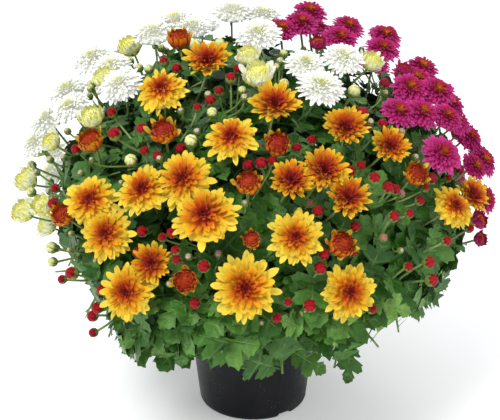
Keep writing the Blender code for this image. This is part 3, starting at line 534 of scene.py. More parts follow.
def leaf_ways(root, index):
    """The ways that a leaf of the part may lie, as (way, face, length), in the part's own order."""
    out = unit(root - HEART + np.array([0.0, 0.0, STALK_LIFT]))
    down = np.array([0, 0, -1.0]) if out[2] < STEEP else bearing(GOLDEN_ANGLE * index, 0)
    fall = unit(down - (down @ out) * out)
    size = np.interp(root[2], LEAF_HEIGHTS, LEAF_SIZES) * np.interp(vary(index, 7), (0, 1), LEAF_VARIES)
    lean = np.interp(vary(index, 9), (0, 1), LEAF_LEAN)
    own_turn = TURN_RANGE * (vary(index, 11) - 0.5) + SIDE_LEAN * (1 if index % 2 else -1)
    found = []
    for scale in LEAF_SCALES:
        for turn in LEAF_TURNS:
            angle = math.radians(turn + own_turn)
            way = unit(math.cos(angle) * fall + math.sin(angle) * np.cross(out, fall) + lean * out)
            found.append((way, unit(out + np.array([0, 0, LEAF_UPWARD])), scale * size))
    return found


def coarse_corners(root, way, face, size):
    """The corners of the part's own leaf, but for its stalk: along the way, across, and arched."""
    across = unit(np.cross(face, way))
    up = np.cross(way, across)
    x, y = np.array(LEAF_CORNERS[1:] + tuple((x, -y) for x, y in LEAF_CORNERS[1:-1])).T
    start = LEAF_CORNERS[0][0]
    arch = -LEAF_DROOP * ((x - start) / (1 - start)) ** 2 - LEAF_EDGE_DROOP * np.abs(y)
    return root + size * ((x - start)[:, None] * way + y[:, None] * across + arch[:, None] * up)


def find_leaves(colour, branches, stalks, corners):
    """The leaves that the solid has, as (root, way, face, length)."""
    seats, found = [], []
    for branch, (_, height_angle) in enumerate(BRANCHES[colour]):
        for share in HIGH_LEAF_SHARES if height_angle > HIGH_BRANCH else LEAF_SHARES[colour]:
            seats.append((len(seats), branch_point(branches[branch], share)))
    for index, stalk in stalks:
        if index % STALK_LEAF_EVERY == 0:
            start = stalk["controls"][0]
            seats.append((KEY_STEP + index, start + STALK_LEAF_SHARE * (stalk["neck"] - start)))
    for index, root in seats:
        ways = leaf_ways(root, index)
        gaps = off_by(np.array([coarse_corners(root, *way) for way in ways]), corners)
        if gaps.min() < FOUND_WITHIN:
            found.append((root, *ways[int(gaps.argmin())]))
    return found


# The leaves' outline in the photograph, in pixels: lowest by column, then leftmost and rightmost by row
LEAVES_LOW = ((0, 200), (40, 240), (60, 262), (95, 312), (110, 345), (140, 362), (177, 384), (190, 362),
              (204, 356), (220, 366), (236, 380), (250, 385), (266, 382), (278, 358), (306, 348),
              (338, 364), (352, 358), (364, 338), (396, 316), (432, 312), (452, 268), (475, 236),
              (500, 190))
LEAVES_LEFT = ((0, 215), (40, 185), (60, 160), (96, 112), (125, 85), (150, 66), (207, 62), (241, 66),
               (259, 76), (277, 86), (297, 97), (320, 105), (343, 112), (366, 140))
LEAVES_RIGHT = ((0, 300), (40, 350), (60, 385), (100, 410), (130, 445), (160, 468), (200, 478),
                (240, 473), (280, 458), (300, 446), (320, 431), (345, 378), (366, 350))
PLAN = {}


def plan():
    """The whole layout, worked out once: ends, branches, stalks and the part's own leaves."""
    if PLAN:
        return PLAN
    ends = shoot_ends()
    spread(ends)
    PLAN["ends"] = ends
    for colour in COLOURS:
        corners = solid_corners("plant_" + colour)
        branches = branch_table(colour)
        stalks = [(i, find_stalk(e, i, branches, corners))
                  for i, e in enumerate(ends) if e["colour"] == colour]
        for i, stalk in stalks:
            ends[i]["at"] = ends[i]["at"] - stalk["sink"] * ends[i]["facing"]
        flowers = [(i, s) for i, s in stalks if ends[i]["kind"] == "flower"]
        PLAN[colour] = {"branches": branches, "stalks": [stalk for _, stalk in stalks],
                        "leaves": find_leaves(colour, branches, flowers, corners)}
    return PLAN


class Sheets:
    """Collects grids of points, and puts them into one mesh with their values and a surface map."""

    def __init__(self, *names):
        self.names = names
        self.points, self.maps, self.values = [], [], []
        self.corners, self.sizes = [], []
        self.count = 0

    def add(self, grid, wrap=False, caps=False, **values):
        """Adds grids of (how many, rows, columns, 3) points. Columns turn left as seen from outside."""
        many, rows, columns, _ = grid.shape
        index = self.count + np.arange(many * rows * columns).reshape(many, rows, columns)
        left = index if wrap else index[:, :, :-1]
        right = np.roll(index, -1, axis=2) if wrap else index[:, :, 1:]
        quads = np.stack((left[:, :-1], right[:, :-1], right[:, 1:], left[:, 1:]), axis=-1)
        self.corners.append(quads.reshape(-1))
        self.sizes.append(np.full(quads.size // 4, 4))
        if caps:
            self.corners += [index[:, 0, ::-1].reshape(-1), index[:, -1].reshape(-1)]
            self.sizes.append(np.full(2 * many, columns))
        self.points.append(grid.reshape(-1, 3))
        u, v = np.meshgrid(np.linspace(0, 1, rows), np.linspace(0, 1, columns), indexing="ij")
        self.maps.append(np.broadcast_to(np.stack((u, v), -1), (many, rows, columns, 2)).reshape(-1, 2))
        given = [np.broadcast_to(values.get(name, 0.0), (many, rows, columns)) for name in self.names]
        self.values.append(np.stack(given, -1).reshape(-1, len(self.names)) if self.names else None)
        self.count += many * rows * columns

    def piece(self, name, finish, slot, *nodes):
        """The mesh as a piece that rides on the part and stands for the nodes."""
        mesh = bpy.data.meshes.new(name)
        corners, sizes = np.concatenate(self.corners), np.concatenate(self.sizes)
        mesh.vertices.add(self.count)
        mesh.vertices.foreach_set("co", np.concatenate(self.points).astype(np.float32).ravel())
        mesh.loops.add(len(corners))
        mesh.loops.foreach_set("vertex_index", corners.astype(np.int32))
        mesh.polygons.add(len(sizes))
        mesh.polygons.foreach_set("loop_start", (np.cumsum(sizes) - sizes).astype(np.int32))
        mesh.update(calc_edges=True)
        surface = mesh.uv_layers.new(name="Surface")
        surface.uv.foreach_set("vector", np.concatenate(self.maps)[corners].astype(np.float32).ravel())
        for number, value in enumerate(self.names):
            held = mesh.attributes.new(value, "FLOAT", "POINT")
            held.data.foreach_set("value", np.concatenate(self.values)[:, number].astype(np.float32))
        mesh.shade_smooth()
        mesh.materials.append(finish)
        made = bpy.data.objects.new(name, mesh)
        bpy.context.scene.collection.objects.link(made)
        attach(made, "root")
        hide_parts(*nodes)
        return made


def flower_axes(facing):
    """Two directions across every flower, square to its facing."""
    u = unit(np.cross(np.array([0.0, 0.0, 1.0]), facing) + np.array([1e-6, 0.0, 0.0]))
    return u, np.cross(facing, u)


def open_curves(tip):
    """Root and middle of an open flower's petals from their tips, as (radius, height).

    The roots crowd round the axis, and the middles bow up on the outer petals."""
    return (np.stack((0.03 + 0.09 * tip[:, 0], -0.10 + 0.20 * (1 - tip[:, 0])), -1),
            np.stack((0.60 * tip[:, 0], tip[:, 1] + 0.10 * (tip[:, 0] - 0.55)), -1))


def cup_curves(tip):
    """Root and middle of a half-open flower's petals: out of the calyx, up and over."""
    return (np.stack((0.42 * tip[:, 0], -0.62 + 0.5 * (0.9 - tip[:, 0])), -1),
            np.stack((1.42 * tip[:, 0], -0.30 + 0.55 * (0.9 - tip[:, 0])), -1))


def flared_curves(tip):
    """Root and middle of petals that have opened out of a half-open flower."""
    return tip * (0.35, 0) + (0, -0.5), tip * (0.85, 0) + (0, -0.25)


def petals(heads, rings, curves, shape, rng, depth=(0.0, 1.0), loose=1.0, raised=0.0, deeper=0.0):
    """Rings of petals for every head, as a grid for each petal, with their values.

    A petal's middle line runs as a curve of three control points in the plane of its bearing and
    the flower's axis: (s*s, 2*s*t, t*t) of root, middle and tip, with s = 1 - t. Its width is that
    of the ring times the petal's shape, and its edges are lifted by the square of their distance
    from the middle line, so that it is a shallow channel. Bearing, length, height and twist vary.
    A head's petals are raised by its share of the square of their reach, and deeper in colour."""
    centre, facing, radius, spin = heads
    counts = [ring[0] for ring in rings]
    ring = np.repeat(np.arange(len(rings)), counts)
    place = np.concatenate([np.arange(n) / n + 0.5 * (i % 2) / n for i, n in enumerate(counts)])
    many, each = len(radius), len(ring)
    tip = np.array([r[1:3] for r in rings])
    spec = np.stack((*curves(tip), tip), 1)[ring]
    width = np.array([r[3] for r in rings])[ring]

    def jitter(size):
        return size * loose * (rng.random((many, each)) - 0.5) * 2

    def each_petal(value):
        return np.broadcast_to(value, (many, each)).reshape(-1, 1, 1)

    angle = 2 * math.pi * (place + jitter(PETAL_TURN) / np.array(counts)[ring]) + spin[:, None]
    stretch = (1 + jitter(PETAL_STRETCH) - PETAL_SHORTER)[..., None]
    out = spec[:, :, 0] * stretch
    rise = spec[:, :, 1] + np.stack([jitter(swing) for swing in PETAL_SWING], -1)
    rise = rise + np.reshape(raised, (-1, 1, 1)) * spec[:, :, 0] ** 2
    t = np.array(PETAL_PLACES)
    weights = np.stack(((1 - t) ** 2, 2 * t * (1 - t), t**2))
    path_out, path_up = out @ weights, rise @ weights
    steep_out, steep_up = np.gradient(path_out, t, axis=-1), np.gradient(path_up, t, axis=-1)
    steep = np.hypot(steep_out, steep_up)
    u, v = flower_axes(facing)
    cos, sin = np.cos(angle)[..., None], np.sin(angle)[..., None]
    radial = cos * u[:, None] + sin * v[:, None]
    beside = -sin * u[:, None] + cos * v[:, None]
    axis = facing[:, None, None]
    normal = ((-steep_up / steep)[..., None] * radial[:, :, None]
              + (steep_out / steep)[..., None] * axis)
    half = 0.5 * (width * (1 + jitter(PETAL_BROADER)))[..., None] * np.array(shape)
    twist = (jitter(PETAL_TWIST)[..., None] * t)[..., None]
    side = np.cos(twist) * beside[:, :, None] + np.sin(twist) * normal
    across = np.array([1.0, 0.0, -1.0])
    middle = path_out[..., None] * radial[:, :, None] + path_up[..., None] * axis
    cup = half * (PETAL_CHANNEL[0] + PETAL_CHANNEL[1] * rng.random((many, each)))[..., None]
    grid = (middle[:, :, :, None] + (half[..., None] * across)[..., None] * side[:, :, :, None]
            + (cup[..., None] * across**2)[..., None] * normal[:, :, :, None])
    grid = centre[:, None, None, None] + radius[:, None, None, None, None] * grid
    inward = np.interp(ring / max(len(rings) - 1, 1), (0, 1), depth)
    return grid.reshape(-1, len(t), 3, 3), {
        "ring": each_petal(inward + np.reshape(deeper, (-1, 1))),
        "tone": each_petal(rng.random((many, each))),
        "bloom": each_petal(rng.random((many, 1)))}


def turned_cups(centre, facing, radius, profile, sides, folds=0, fold_depth=0.0):
    """Bodies turned round their own axes from (height, radius) rows, with folds that deepen upwards.

    A point is the middle plus radius * row radius * (1 + depth * cos(folds * a)) round the axis."""
    rows = np.array(profile)
    a = 2 * math.pi * np.arange(sides) / sides
    u, v = flower_axes(facing)
    deep = fold_depth * np.clip(rows[:, 0] / rows[-1, 0] * 2 - 0.7, 0, 1)[:, None]
    swell = rows[:, 1][:, None] * (1 + deep * np.cos(folds * a))
    ways = np.cos(a)[:, None] * u[:, None] + np.sin(a)[:, None] * v[:, None]
    r = radius[:, None, None, None]
    return (centre[:, None, None] + r * rows[:, 0][:, None, None] * facing[:, None, None]
            + r * swell[..., None] * ways[:, None])


def blades(roots, ways, faces, sizes, bend, rng):
    """Lobed leaves with their stalks, a grid for each.

    A point is (place on the midrib moved to that of the edge by its share across) along the way,
    half width times its share across, and an arch: the droop times the square of the share along,
    the edges' droop, a fold along the midrib, a wave along the edges, and a curl to one side."""
    mid, edge, half = LEAF_STATIONS.T
    t = np.array(LEAF_ACROSS)
    x = mid[:, None] + (edge - mid)[:, None] * np.abs(t) ** LEAF_SWEEP
    y = half[:, None] * t
    start = LEAF_CORNERS[0][0]
    share = (x - start) / (1 - start)
    free = rng.random((len(sizes), 5, 1, 1))
    fold = (free[:, 0] * LEAF_FOLD[0] - LEAF_FOLD[1]) * np.abs(y)
    phase = LEAF_WAVES * x + free[:, 1] + 0.5 * (t > 0)
    wave = LEAF_WAVE * np.sin(2 * math.pi * phase) * np.abs(t)
    curl = LEAF_CURL * (free[:, 2] - 0.5) * share * t
    arch = -LEAF_DROOP * bend[:, None, None] * share**2 - LEAF_EDGE_DROOP * np.abs(y)
    arch = arch + fold + wave * half[:, None] * 3 + curl
    beside = unit(np.cross(faces, ways))
    up = np.cross(ways, beside)

    def lay(amount, way):
        return np.broadcast_to(amount, arch.shape)[..., None] * way[:, None, None]

    local = lay(x - start, ways) + lay(y, beside) + lay(arch, up)
    return roots[:, None, None] + sizes[:, None, None, None] * local


def side_buds(ends, rng):
    """Small buds between the flowers, pushed over the dome until they are clear of all others."""
    found = [(from_photo(x, y), share, colour) for colour, places in SIDE_BUDS.items()
             for x, y, share in places]
    low, rise = FAR_BUD_HEIGHTS
    for colour, (first, last) in FAR_BUDS.items():
        for _ in range(FAR_BUD_COUNT):
            place = at_height(first + (last - first) * rng.random(), low + rise * rng.random())
            found.append((place, rng.random() * FAR_BUD_RIPE, colour))
    at, ripe, colours = columns(found)
    radius = SIDE_BUD_RADII[0] + SIDE_BUD_RADII[1] * ripe
    fixed, size = of_all(ends, "at", "radius")
    for _ in range(SIDE_BUD_ROUNDS):
        away = at[:, None] - fixed
        distance = np.linalg.norm(away, axis=2)
        push = np.maximum(radius[:, None] + size + SIDE_BUD_AIR - distance, 0) / distance
        near = at[:, None] - at
        between = np.linalg.norm(near, axis=2) + 1e-6
        shove = np.maximum(radius[:, None] + radius + SIDE_BUD_AIR - between, 0) / between
        np.fill_diagonal(shove, 0.0)
        at = onto_dome(at + (push[..., None] * away).sum(1) + 0.5 * (shove[..., None] * near).sum(1))
    sunk = SIDE_BUD_SUNK[0] + SIDE_BUD_SUNK[1] * rng.random(len(at))
    return at - dome_normal(at) * sunk[:, None], radius, ripe, colours


# The room that a flower needs in its own radii: how far out, and how far above and below its middle
FLOWER_ROOM = (1.03, 0.6, -0.32)


def clear_of_flowers(points, ends):
    """Whether all of a leaf's points are outside every flower's own room."""
    at, facing, radius = of_all(ends, "at", "facing", "radius")
    reach, above, below = FLOWER_ROOM
    away = points[:, :, None] - at
    height = (away * facing).sum(-1)
    across = np.sqrt(np.maximum((away**2).sum(-1) - height**2, 0))
    inside = (across < reach * radius) & (height < above * radius) & (height > below * radius)
    return ~inside.any(axis=(1, 2))


def to_photo(points):
    """The pixels of points in the photograph."""
    away = points - EYE
    cos, sin = math.cos(EYE_PITCH), math.sin(EYE_PITCH)
    deep = away[..., 1] * cos - away[..., 2] * sin
    up = away[..., 1] * sin + away[..., 2] * cos
    return (FRAME_MIDDLE[0] + FOCAL_PIXELS * away[..., 0] / deep,
            FRAME_MIDDLE[1] - FOCAL_PIXELS * up / deep)


def within_outline(points, spare=2.0):
    """Whether points are inside the photograph's outline of leaves."""
    x, y = to_photo(points)
    return ((y < np.interp(x, *np.array(LEAVES_LOW).T) + spare)
            & (x > np.interp(y, *np.array(LEAVES_LEFT).T) - spare)
            & (x < np.interp(y, *np.array(LEAVES_RIGHT).T) + spare))


def fibonacci_ways(many):
    """Directions spread evenly over a ball, from the top down, a golden angle apart."""
    k = np.arange(many) + 0.5
    up = 1 - 2 * k / many
    a = math.radians(GOLDEN_ANGLE) * k
    return np.stack((np.sqrt(1 - up**2) * np.cos(a), np.sqrt(1 - up**2) * np.sin(a), up), -1)


# Leafy shoots: the lowest way out, how much their depth varies, the height below which they reach
# further out and over which range, how far out, and how strongly; where on a branch they may start,
# and how dear it is to start further out than the end
SHOOT_LOWEST = -0.62
SHOOT_VARIES = 0.12
SHOOT_LOW = (0.19, 0.08)
SHOOT_REACH = (0.97, 0.75)
SHOOT_SHARES = (0.35, 0.55, 0.75, 0.95)
SHOOT_BACKWARDS = 5.0


def leafy_shoots(leafy):
    """Short shoots all round the dome, each to its own depth, as (start, end, colour) arrays."""
    rng = np.random.default_rng(SEEDS["shoots"])
    ways = fibonacci_ways(leafy.shoots)
    ways = ways[ways[:, 2] > SHOOT_LOWEST]
    surface = onto_dome(DOME_CENTRE + ways * 0.1)
    level = leafy.depth + SHOOT_VARIES * (rng.random(len(ways)) - 0.5)
    low = np.clip((SHOOT_LOW[0] - surface[:, 2]) / SHOOT_LOW[1], 0, 1)
    level = level + (SHOOT_REACH[0] - level) * low * SHOOT_REACH[1]
    ends = HEART + (surface - HEART) * level[:, None]
    found = [(branch_point(rings, share), colour) for colour in COLOURS
             for rings in plan()[colour]["branches"] for share in SHOOT_SHARES]
    points, colours = columns(found)
    inner = np.linalg.norm(points - HEART, axis=1)
    reach = np.linalg.norm(ends - HEART, axis=1)
    distance = np.linalg.norm(ends[:, None] - points, axis=2)
    distance = distance + SHOOT_BACKWARDS * np.maximum(inner - reach[:, None], 0)
    near = distance.argmin(axis=1)
    return points[near], ends, colours[near]


# Rows of leaves from the end of a leafy shoot, from the foot of a flower stalk, high on it, and along a
# branch: place, growth, size, turn in degrees and lean, each as (first, step to the next, random range)
SHOOT_ROW = ((1.0, -0.13, 0), (0.75, 0.10, 0), (0.85, 0, 0.3), (0, GOLDEN_ANGLE, 0), (0.55, -0.08, 0.3))
STALK_ROW = ((0.08, 0.22, 0.1), (1.0, -0.2, 0), (0.8, 0, 0.3), (0, 0, 360), (0.5, 0, 0.4))
NECK_ROW = ((0.55, 0.2, 0.1), (1.0, 0, 0), (0.32, 0, 0.22), (0, 0, 360), (0.7, 0, 0.8))
BRANCH_ROW = ((0.25, 0.08, 0), (1.0, 0, 0), (0.9, 0, 0.3), (0, GOLDEN_ANGLE, 60), (0.35, 0, 0.4))
# How many leaves the last three have, the lowest place on a shoot, and the heights over which the length
# of leaves goes from that of the lowest to that of the highest
STALK_LEAVES = 3
NECK_LEAVES = 2
BRANCH_LEAVES = 9
SHOOT_FOOT = 0.1
LENGTH_HEIGHTS = (0.12, 0.30)


def leaf_row(rng, many, row):
    """The place, size, turn and lean of each leaf of a row."""
    for k in range(many):
        place, growth, size, turn, lean = [first + step * k + (swing * rng.random() if swing else 0)
                                           for first, step, swing in row]
        yield place, growth * size, turn, lean


def shoot_leaves(leafy):
    """Leaves round the end of every leafy shoot and along every flower stalk and branch.

    Each is a root, a way out, a colour, a size, a turn round the way out and a lean to it. Along a
    shoot from its end they get larger and lie flatter, and along a stalk from its foot smaller."""
    rng = np.random.default_rng(SEEDS["shoot leaves"])
    found = []
    for start, tip, colour in zip(*leafy_shoots(leafy)):
        own_turn = rng.random() * 360
        for place, size, turn, lean in leaf_row(rng, leafy.leaves_each, SHOOT_ROW):
            found.append((start + (tip - start) * max(place, SHOOT_FOOT), unit(tip - HEART), colour,
                          size, own_turn + turn, lean))
    for colour in COLOURS:
        stalks = [stalk["controls"] for stalk in plan()[colour]["stalks"]]
        for start, _, _, seat in stalks:
            for place, *leaf in leaf_row(rng, STALK_LEAVES, STALK_ROW):
                found.append((start + (seat - start) * place, unit(seat - HEART), colour, *leaf))
        for controls in stalks:
            for place, *leaf in leaf_row(rng, NECK_LEAVES, NECK_ROW):
                found.append((bezier(*controls, place), unit(controls[3] - HEART), colour, *leaf))
        for rings in plan()[colour]["branches"]:
            for place, *leaf in leaf_row(rng, BRANCH_LEAVES, BRANCH_ROW):
                found.append((branch_point(rings, place), unit(rings[-1] - rings[0]), colour, *leaf))
    roots, outs, colours, sizes, turns, leans = columns(found)
    sizes = sizes * np.interp(roots[:, 2], LENGTH_HEIGHTS, (leafy.long, leafy.short))
    return roots, outs, colours, sizes, turns, leans


# The turns that a leaf may try, with its size, and the points that must fit: along, across and up
LEAF_TRIES = ((0, 1.0), (50, 1.0), (-50, 1.0), (100, 1.0), (-100, 1.0), (150, 0.8), (180, 0.8))
LEAF_SPOTS = np.array([(0.5, 0, -.03), (0.9, 0, -.1), (1.35, 0, -.22), (0.64, .35, -.1),
                       (0.64, -.35, -.1), (1.0, .3, -.15), (1.0, -.3, -.15)])
# The pot's own room, as the height and the radius inside which no leaf may be, and the lowest height
POT_ROOM = (0.116, 0.070)
LOWEST_LEAF = 0.050
# How far out of the dome leaves may reach, below and above a height
LEAF_LEVELS = (1.04, 0.93)
LEAF_LEVEL_STEP = 0.20
LEAF_FACE_UP = 0.35


def place_leaves(leafy):
    """The leaves that find room clear of flowers, pot and soil, each in the first of its turns."""
    ends = plan()["ends"]
    roots, outs, colours, sizes, turns, leans = shoot_leaves(leafy)
    down = np.where(outs[:, 2:] < 0.97, np.array([0, 0, -1.0]), np.array([1.0, 0, 0]))
    fall = unit(down - (down * outs).sum(1, keepdims=True) * outs)
    beside = np.cross(outs, fall)
    face = unit(outs + np.array([0, 0, LEAF_FACE_UP]))
    done = np.zeros(len(sizes), bool)
    ways = np.zeros_like(roots)
    for turn, scale in LEAF_TRIES:
        angle = np.radians(turns + turn)[:, None]
        way = unit(np.cos(angle) * fall + np.sin(angle) * beside + leans[:, None] * outs)
        across = unit(np.cross(face, way))
        frame_of = np.stack((way, across, np.cross(way, across)), 1)[:, None]
        local = sum(LEAF_SPOTS[:, axis:axis + 1] * frame_of[:, :, axis] for axis in range(3))
        points = roots[:, None] + (scale * sizes)[:, None, None] * local
        around = np.hypot(points[..., 0], points[..., 1])
        level = np.where(points[..., 2] < LEAF_LEVEL_STEP, *LEAF_LEVELS)
        fits = (clear_of_flowers(points, ends) & (dome_level(points) < level).all(1)
                & ~((points[..., 2] < POT_ROOM[0]) & (around < POT_ROOM[1])).any(1)
                & (points[..., 2] > LOWEST_LEAF).all(1) & within_outline(points).all(1) & ~done)
        ways[fits] = way[fits]
        sizes[fits] *= scale
        done |= fits
    return roots[done], ways[done], face[done], sizes[done], colours[done]


class Shader:
    """A node tree with short ways to add its nodes. Inputs are values or the sockets of other nodes."""

    def __init__(self, tree):
        self.tree = tree

    def link(self, value, socket):
        """Sets a socket, or links it where the value is a socket too."""
        if isinstance(value, bpy.types.NodeSocket):
            self.tree.links.new(value, socket)
        else:
            socket.default_value = value

    def node(self, kind, inputs=(), **settings):
        """The outputs of a new node with its settings and inputs."""
        made = self.tree.nodes.new("ShaderNode" + kind)
        for key, value in settings.items():
            setattr(made, key, value)
        for key, value in dict(inputs).items():
            self.link(value, made.inputs[key])
        return made.outputs

    def maths(self, operation, a, b=0.0, c=0.0):
        """The result of one sum."""
        return self.node("Math", {0: a, 1: b, 2: c}, operation=operation)[0]

    def times(self, a, b):
        """One value times another."""
        return self.maths("MULTIPLY", a, b)

    def minus(self, a, b):
        """One value less another."""
        return self.maths("SUBTRACT", a, b)

    def line(self, value, slope, start):
        """A value times a slope, added to a start."""
        return self.maths("MULTIPLY_ADD", value, slope, start)

    def ranged(self, value, low, high, first=0.0, last=1.0):
        """A value moved from one range to another, and kept inside it."""
        return self.node("MapRange", {0: value, 1: low, 2: high, 3: first, 4: last})[0]

    def blend(self, share, a, b):
        """Two colours mixed by a share."""
        return self.node("Mix", {0: share, 6: a, 7: b}, data_type="RGBA")[2]

    def toned(self, colour, value, saturation=1.0):
        """A colour made lighter or darker, and paler."""
        return self.node("HueSaturation", {"Saturation": saturation, "Value": value, "Color": colour})[0]

    def ramp(self, share, *stops):
        """A colour that runs through (place, colour) stops."""
        colours = self.node("ValToRGB", {0: share})
        steps = colours[0].node.color_ramp.elements
        while len(steps) < len(stops):
            steps.new(0.5)
        for step, (place, colour) in zip(steps, stops):
            step.position = place
            step.color = (*colour[:3], 1.0)
        return colours[0]

    def noise(self, where, scale, detail=2.0, roughness=0.5):
        """Soft noise, from 0 to 1."""
        return self.node("TexNoise", {"Vector": where, "Scale": scale, "Detail": detail,
                                      "Roughness": roughness})["Fac"]

    def cells(self, where, scale):
        """Distance from the nearest middle of many small cells."""
        return self.node("TexVoronoi", {"Vector": where, "Scale": scale})["Distance"]

    def space(self):
        """Where a point is in the part's own frame."""
        return self.node("TexCoord")["Object"]

    def sheet(self):
        """Where a point is on its own sheet: its shares along and across, or round."""
        return self.node("SeparateXYZ", {0: self.node("UVMap", uv_map="Surface")[0]})[:2]

    def value_of(self, name):
        """A value that the mesh holds at its points."""
        return self.node("Attribute", attribute_name=name)["Fac"]

    def group(self, name, fill, outs, **ins):
        """The outputs of a node group by its name, which fill makes once from its inputs."""
        found = bpy.data.node_groups.get(name)
        if not found:
            found = bpy.data.node_groups.new(name, "ShaderNodeTree")
            kinds = [("INPUT", label) for label in ins] + [("OUTPUT", label) for label in outs]
            for way, label in kinds:
                kind = "NodeSocketColor" if label == "Colour" else "NodeSocketFloat"
                found.interface.new_socket(name=label, in_out=way, socket_type=kind)
            shader = Shader(found)
            given = shader.tree.nodes.new("NodeGroupInput").outputs
            wanted = shader.tree.nodes.new("NodeGroupOutput").inputs
            for label, value in zip(outs, fill(shader, given)):
                shader.link(value, wanted[label])
        return self.node("Group", ins, node_tree=found)

    def mottled(self, colour, scale, amount):
        """A colour with fine mottle, and the mottle's height."""
        return self.group("Fine mottle", fine_mottle, ("Colour", "Height"), Colour=colour, Scale=scale,
                          Amount=amount)


def fine_mottle(shader, given):
    """Fine mottle: a colour made lighter and darker in soft patches, with their height."""
    grain = shader.noise(shader.space(), given["Scale"], 4.0, 0.6)
    swing = shader.times(shader.minus(grain, 0.5), given["Amount"])
    return shader.toned(given["Colour"], shader.line(swing, 2.0, 1.0)), grain


def fine_streaks(shader, given):
    """Fine streaks: lengthwise ribs on a petal's own map, moved along by the petal's own tone."""
    where = shader.node("UVMap", uv_map="Surface")[0]
    stretched = shader.node("Mapping", {"Vector": where, "Scale": (1.6, 9.0, 1.0)})[0]
    shift = shader.node("CombineXYZ", {"Z": shader.times(given["Tone"], 37.0)})[0]
    moved = shader.node("VectorMath", {0: stretched, 1: shift}, operation="ADD")[0]
    grain = shader.noise(moved, 1.0)
    swing = shader.times(shader.minus(grain, 0.5), given["Amount"])
    return shader.maths("ADD", swing, 1.0), grain


class Finish(Shader):
    """A new material with its constants set."""

    def __init__(self, name, roughness, specular, sheen=0.0):
        self.made = bpy.data.materials.new(name)
        self.made.use_nodes = True
        super().__init__(self.made.node_tree)
        self.give({"Roughness": roughness, "Specular IOR Level": specular, "Sheen Weight": sheen})

    def give(self, inputs):
        """Sets or links inputs of the surface."""
        for key, value in inputs.items():
            self.link(value, self.tree.nodes["Principled BSDF"].inputs[key])

    def cover(self, colour, height, distance, strength=1.0):
        """Gives the surface its colour, and bump from a height, and ends with the material."""
        bump = self.node("Bump", {"Height": height, "Distance": distance, "Strength": strength})
        self.give({"Base Color": colour, "Normal": bump[0]})
        return self.made


def petal_finish(colour):
    """Petals: a ramp from the tips of the outer ring in to the eye, with streaks and a tone each."""
    found = bpy.data.materials.get("petal " + colour)
    if found:
        return found
    look = Finish("petal " + colour, 0.55, 0.14, sheen=0.04)
    along, _ = look.sheet()
    tone = look.value_of("tone")
    depth = look.times(look.maths("POWER", look.minus(1.0, along), 1.6), ROOT_DEPTHS[colour])
    depth = look.line(look.value_of("ring"), 0.92, depth)
    for own in (tone, look.value_of("bloom")):
        depth = look.line(look.minus(own, 0.5), 0.10, depth)
    streaks = look.group("Fine streaks", fine_streaks, ("Shade", "Height"), Tone=tone, Amount=0.60)
    shade = look.times(streaks["Shade"], look.line(tone, 0.22, 0.88))
    shown = look.toned(look.ramp(depth, *PALETTES[colour]), shade)
    # Painted light: the petals glow in their own colour, standing in for light that shines through them
    look.give({"Emission Color": shown, "Emission Strength": PETAL_PAINTED_GLOW[colour]})
    return look.cover(shown, streaks["Height"], 0.0009, 0.8)


def leaf_finish(looks):
    """Leaves: green by the leaf's own tone, darker as painted shade deep in the dome and paler as painted
    light further out, paler veins from the map, blotches, and a pale back.
    """
    look = Finish("leaf blade", 0.42, 0.24)
    along, across = look.sheet()
    off = look.maths("ABSOLUTE", look.line(across, 2.0, -1.0))
    midrib = look.node("Clamp", {0: look.minus(1.0, look.times(off, 9.0))})[0]
    swept = look.line(along, 1 / VEIN_STEP, 1 - VEIN_START / VEIN_STEP)
    ribs = look.ranged(look.maths("PINGPONG", swept, 0.5), 0.09, 0.0)
    fade = look.minus(1.0, look.times(off, 0.8))
    veins = look.maths("MAXIMUM", midrib, look.times(ribs, fade))
    # Painted shade and light: the tone, partly from how deep a leaf lies in the dome, runs from a shaded
    # to a lit green
    green = look.ramp(look.value_of("tone"), (0.0, looks.leaf_painted_shade), (0.35, looks.leaf_green),
                      (0.7, looks.leaf_painted_light), (1.0, looks.leaf_pale))
    blotched = look.mottled(green, 90.0, 0.80)
    grained = look.mottled(blotched["Colour"], 330.0, 0.45)
    veined = look.blend(look.times(veins, 0.45), grained["Colour"], LEAF_VEIN)
    back = look.node("NewGeometry")["Backfacing"]
    shown = look.blend(back, veined, look.toned(veined, 1.5, 0.72))
    return look.cover(shown, look.line(veins, -0.35, blotched["Height"]), 0.0018, 0.9)


def stem_finish(looks):
    """Stems: mottled green, mixed by their tone with a sunlit copy that is painted light, woody and brown
    near the soil.
    """
    look = Finish("green stem", 0.5, 0.3)
    # Painted light: each stem's tone mixes the stem green towards a sunlit copy of it
    green = look.blend(look.value_of("tone"), looks.stem_green, looks.stem_painted_light)
    grown = look.mottled(look.blend(look.value_of("wood"), green, looks.stem_wood), 220.0, 0.5)
    return look.cover(grown["Colour"], grown["Height"], 0.0004, 0.6)


def bud_finish(colour, looks):
    """Buds: green bracts below, and above them the folded petals, painted darker as shade in their
    valleys and near the bracts and painted lighter towards the top.
    """
    look = Finish("bud " + colour, 0.5, 0.14)
    along, round_it = look.sheet()
    teeth = look.maths("PINGPONG", look.times(round_it, 2.0 * BUD_FOLDS), 1.0)
    ripe = look.value_of("ripe")
    edge = look.line(teeth, 0.10, look.line(ripe, -0.38, 0.82))
    over = look.ranged(look.minus(along, edge), -0.02, 0.04)
    # Partly painted shade: the valleys of the folds are darker than the ridges
    folded = look.blend(look.times(teeth, 0.6), *BUD_COLOURS[colour])
    folded = look.blend(look.ranged(ripe, 0.60, 0.25), folded, looks.bud_tip)
    # Painted light and shade: darker towards the bracts, lighter towards the top
    folded = look.toned(folded, look.ranged(along, 0.40, 0.90, 0.42, 1.30))
    bracts = look.blend(look.value_of("tone"), looks.stem_green, looks.bract_pale)
    grown = look.mottled(look.blend(over, bracts, folded), 300.0, 0.35)
    return look.cover(grown["Colour"], look.maths("ADD", teeth, grown["Height"]), 0.0008, 0.9)


